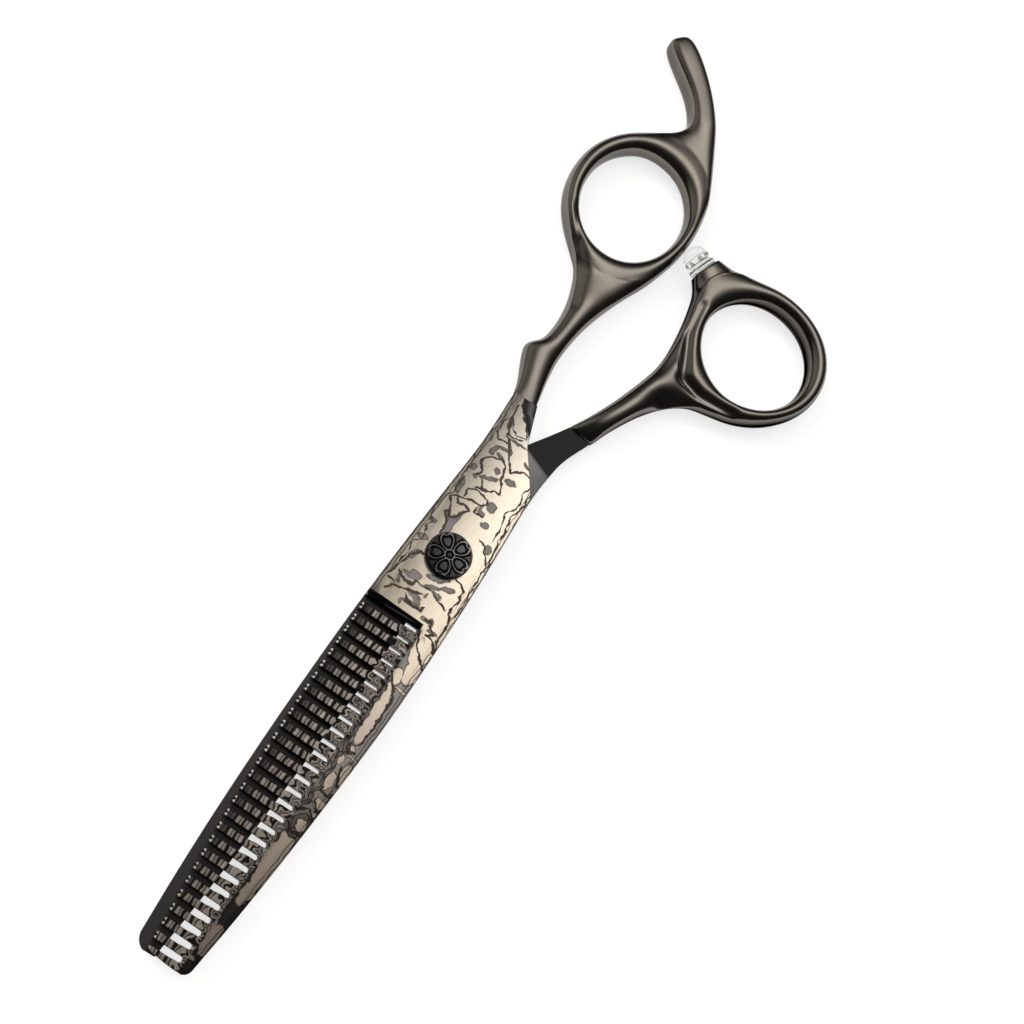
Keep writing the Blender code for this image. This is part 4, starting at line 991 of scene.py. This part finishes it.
def subdivided(builder, levels):
    """The cage as a subdivided bmesh."""
    mesh = bpy.data.meshes.new("cage")
    builder.to_mesh(mesh)
    builder.free()
    cage = bpy.data.objects.new("cage", mesh)
    bpy.context.scene.collection.objects.link(cage)
    modifier = cage.modifiers.new("subdivision", "SUBSURF")
    modifier.levels = modifier.render_levels = levels
    bpy.context.view_layer.update()
    result = bmesh.new()
    result.from_object(cage, bpy.context.evaluated_depsgraph_get())
    bpy.data.objects.remove(cage)
    bpy.data.meshes.remove(mesh)
    return result


def dish(builder, valleys):
    """Press valleys into both faces: (start, end, half width, depth), in plan."""
    for vert in builder.verts:
        drop = 0
        for start, end, width, depth in valleys:
            a, b = Vector(start), Vector(end)
            t = clamp((vert.co.xy - a).dot(b - a) / (b - a).length_squared)
            distance = (vert.co.xy - a - (b - a) * t).length
            drop = max(drop, depth * exp(-(distance / width) ** 2))
        vert.co.z -= drop * clamp((vert.co.z - MID_HEIGHT) / HALF_HEIGHT, -1)


def relax(builder, centres, radius, rounds=90, plan_rounds=20):
    """Smooth the surface around the places where limbs grow out of a ring, above all in height."""
    builder.verts.index_update()
    builder.normal_update()
    places = np.array([vert.co for vert in builder.verts])
    facing = np.abs(np.array([vert.normal.z for vert in builder.verts]))
    ends = np.array([[vert.index for vert in edge.verts] for edge in builder.edges])
    starts, others = ends.ravel(), ends[:, ::-1].ravel()
    degree = np.bincount(starts, minlength=len(places))
    apart = np.min([np.hypot(*(places[:, :2] - centre).T) for centre in np.array(centres)], axis=0)
    near = np.clip(1.7 * (1 - apart / radius), 0, 1)
    near = 0.5 * near * near * (3 - 2 * near)
    level = near * np.clip((facing - 0.35) / 0.3, 0, 1)
    for step in range(rounds):
        for axis, weight in ((0, near), (1, near), (2, level)):
            if axis == 2 or step < plan_rounds:
                mean = np.bincount(starts, places[others, axis], len(places)) / degree
                places[:, axis] += (mean - places[:, axis]) * weight
    for vert, place in zip(builder.verts, places):
        vert.co = place


def make_handle(which, ring_shape, limbs, junctions, reach, valleys):
    builder = subdivided(handle_cage(ring_loops(*ring_shape), limbs), HANDLE_SUBDIVISIONS)
    relax(builder, junctions, reach)
    dish(builder, valleys)
    return new_piece(which + "_handle_forging", builder, which + "_half", which + "_handle", "gunmetal", 60)


# ---------------------------------------------------------------- hardware

def make_bumper():
    profile = [(0, 0.02), (2.45, 0.02), (2.5, 0.9), (2, 1.15), (1.95, 1.6), (2.3, 1.75), (2.3, 2.3),
               (2.12, 2.45), (2.12, 3), (1.85, 3.7), (1.1, 4.25), (0, 4.4)]
    builder = turned(rounded(profile, 0.16))
    turn = BUMPER_DIRECTION.to_track_quat("Z", "Y").to_matrix().to_4x4()
    bmesh.ops.transform(builder, matrix=Matrix.Translation(BUMPER_BASE) @ turn, verts=builder.verts)
    return new_piece("clear_bumper", builder, "thumb_half", "bumper", "silicone", 50)


def petal_distance(x, y, radius):
    """Signed distance in mm from the outline of a notched petal that points along +X (positive inside)."""
    centre, along, across = radius * 0.56, radius * 0.36, radius * 0.27
    u, v = (x - centre) / along, y / across
    inside = (1 - hypot(u, v / max(1 + 0.30 * u, 0.2))) * across
    notch = hypot(x - radius * 0.95, y) - radius * 0.12
    return min(inside, notch)


def screw_relief(x, y, radius):
    """Height in mm of the flower on the screw head, relative to its rim."""
    reach = hypot(x, y)
    best = -1
    for index in range(5):
        angle = radians(132 + 72 * index)
        along, side = x * cos(angle) + y * sin(angle), -x * sin(angle) + y * cos(angle)
        best = max(best, petal_distance(along, side, radius))
    hub = radius * 0.21 - reach
    ridge = max(exp(-(best / 0.11) ** 4), exp(-(hub / 0.10) ** 4))
    groove = exp(-((best - 0.27) / 0.09) ** 4) + exp(-((best + 0.25) / 0.09) ** 4)
    petal = 0.05 * ease((best - 0.36) / 0.12)
    rim = ease((reach - radius * 0.93) / (radius * 0.04))
    return (ridge * 0.11 - 0.12 + (petal - 0.07 * min(groove, 1)) * (1 - ridge)) * (1 - rim)


def make_tension_screw():
    """Shank and head of revolution, whose top face carries the flower relief."""
    radius, top = SCREW_HIGH.x, SCREW_HIGH.z
    base = top - 1
    face = radius - 0.34
    profile = [(0, SCREW_LOW.z), (1.2, SCREW_LOW.z), (1.4, SCREW_LOW.z + 0.2), (1.4, base),
               (radius - 0.15, base), (radius - 0.04, base + 0.04), (radius, base + 0.15),
               (radius, top - 0.4), (radius - 0.05, top - 0.22), (radius - 0.18, top - 0.08),
                (face, top - 0.02)]
    builder = turned(profile + [(face * (1 - i / 64), top - 0.03) for i in range(1, 65)], 240)
    for vert in builder.verts:
        if vert.co.z > base + 0.5 and vert.co.xy.length < face * 0.99:
            vert.co.z += screw_relief(vert.co.x, vert.co.y, radius)
    return new_piece("flower_screw", builder, "screw_set", "tension_screw", "black_screw", 50)


def make_pivot_nut():
    """Flanged sleeve nut with a blind bore, and a spanner slot and ring groove in its outer face."""
    flange, high = NUT_HIGH.x, NUT_HIGH.z
    face = [(r, 0) for r in spread(0, flange - 0.5, 0.1)]
    builder = turned(face + [(flange - 0.2, 0), (flange, 0.2), (flange, 1), (2.3, 1), (2.3, high - 0.1),
                             (2.2, high), (1.7, high), (1.6, high - 0.1), (1.6, 0.9), (0, 0.9)])
    for vert in builder.verts:
        if vert.co.z == 0:
            reach = vert.co.xy.length
            slot = 0.55 * clamp((0.45 - abs(vert.co.y)) / 0.1) * clamp((2.6 - abs(vert.co.x)) / 0.15)
            groove = 0.25 * clamp((reach - 2.75) / 0.05) * clamp((3 - reach) / 0.05)
            vert.co.z = max(slot, groove)
    return new_piece("sleeve_nut", builder, "thumb_half", "pivot_nut", "nut_steel", 30)


make_comb_blade()
make_plain_blade()
make_handle("finger", (FINGER_RING_CENTRE, FINGER_HOLE, FINGER_RING),
            [(SHANK_STATION, FINGER_SHANK, True), (REST_STATION, FINGER_REST, False)],
            FINGER_JUNCTIONS, 7, FINGER_VALLEYS)
make_handle("thumb", (THUMB_RING_CENTRE, THUMB_HOLE, THUMB_RING),
            [(THUMB_SHANK_STATION, THUMB_SHANK, False), (BOSS_STATION, BUMPER_BOSS, True)],
            THUMB_JUNCTIONS, 6.5, THUMB_VALLEYS)
make_bumper()
make_tension_screw()
make_pivot_nut()
for node, slot in (("spring_washer", "spring_steel"), ("slip_washer", "nylon")):
    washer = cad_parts[node]
    washer.data.materials.clear()
    washer.data.materials.append(MATERIALS[slot])


# ---------------------------------------------------------------- studio

def make_floor():
    """Wide round sheet just under the shears."""
    builder = turned([(radius, -0.02) for radius in (0, 150, 400, 1200, 3000)], 64)
    bmesh.ops.reverse_faces(builder, faces=builder.faces)
    floor = new_object("studio_floor", builder, "studio_floor")


def make_world():
    """Dark surroundings with two soft areas of light: a bright one above the rings and a dim one at left."""
    world = bpy.context.scene.world = bpy.data.worlds.new("studio")
    s = Shader(world)
    direction = s.coordinates["Generated"]
    areas = []
    for towards, tint, falloff in LIGHT_AREAS:
        dot = s.vector("DOT_PRODUCT", direction, Vector(towards).normalized())
        areas.append(s.ramp(dot, [(at, [level * part for part in tint]) for at, level in falloff]))
    s.put(s.nodes["Background"].inputs["Color"], s.vector("ADD", *areas))
    s.put(s.nodes["Background"].inputs["Strength"], 1)


def add_sun(name, from_direction, strength, softness_degrees):
    """Distant soft light that lights the floor and matt surfaces, but isn't mirrored in the steel."""
    light = bpy.data.lights.new(name, "SUN")
    light.energy = strength
    light.angle = radians(softness_degrees)
    item = bpy.data.objects.new(name, light)
    bpy.context.scene.collection.objects.link(item)
    item.rotation_euler = Vector(from_direction).to_track_quat("Z", "Y").to_euler()
    item.visible_glossy = False


def make_camera():
    camera = bpy.data.objects.new("camera", bpy.data.cameras.new("camera"))
    bpy.context.scene.collection.objects.link(camera)
    turn = Matrix((CAMERA_RIGHT, CAMERA_RIGHT.cross(CAMERA_FORWARD), -CAMERA_FORWARD)).transposed().to_4x4()
    camera.matrix_world = Matrix.Translation(CAMERA_PLACE * MM) @ turn
    camera.data.lens = CAMERA_LENS
    camera.data.sensor_width = 36
    camera.data.clip_start = 0.01
    camera.data.clip_end = 20
    bpy.context.scene.camera = camera


make_floor()
make_world()
add_sun("left_light", (-0.80, 0.25, 0.55), 1.9, 35)
add_sun("right_light", (0.80, -0.45, 0.38), 0.3, 60)
add_sun("top_light", (-0.10, 0.10, 1), 1.5, 120)
make_camera()
bpy.context.scene.view_settings.view_transform = "Standard"
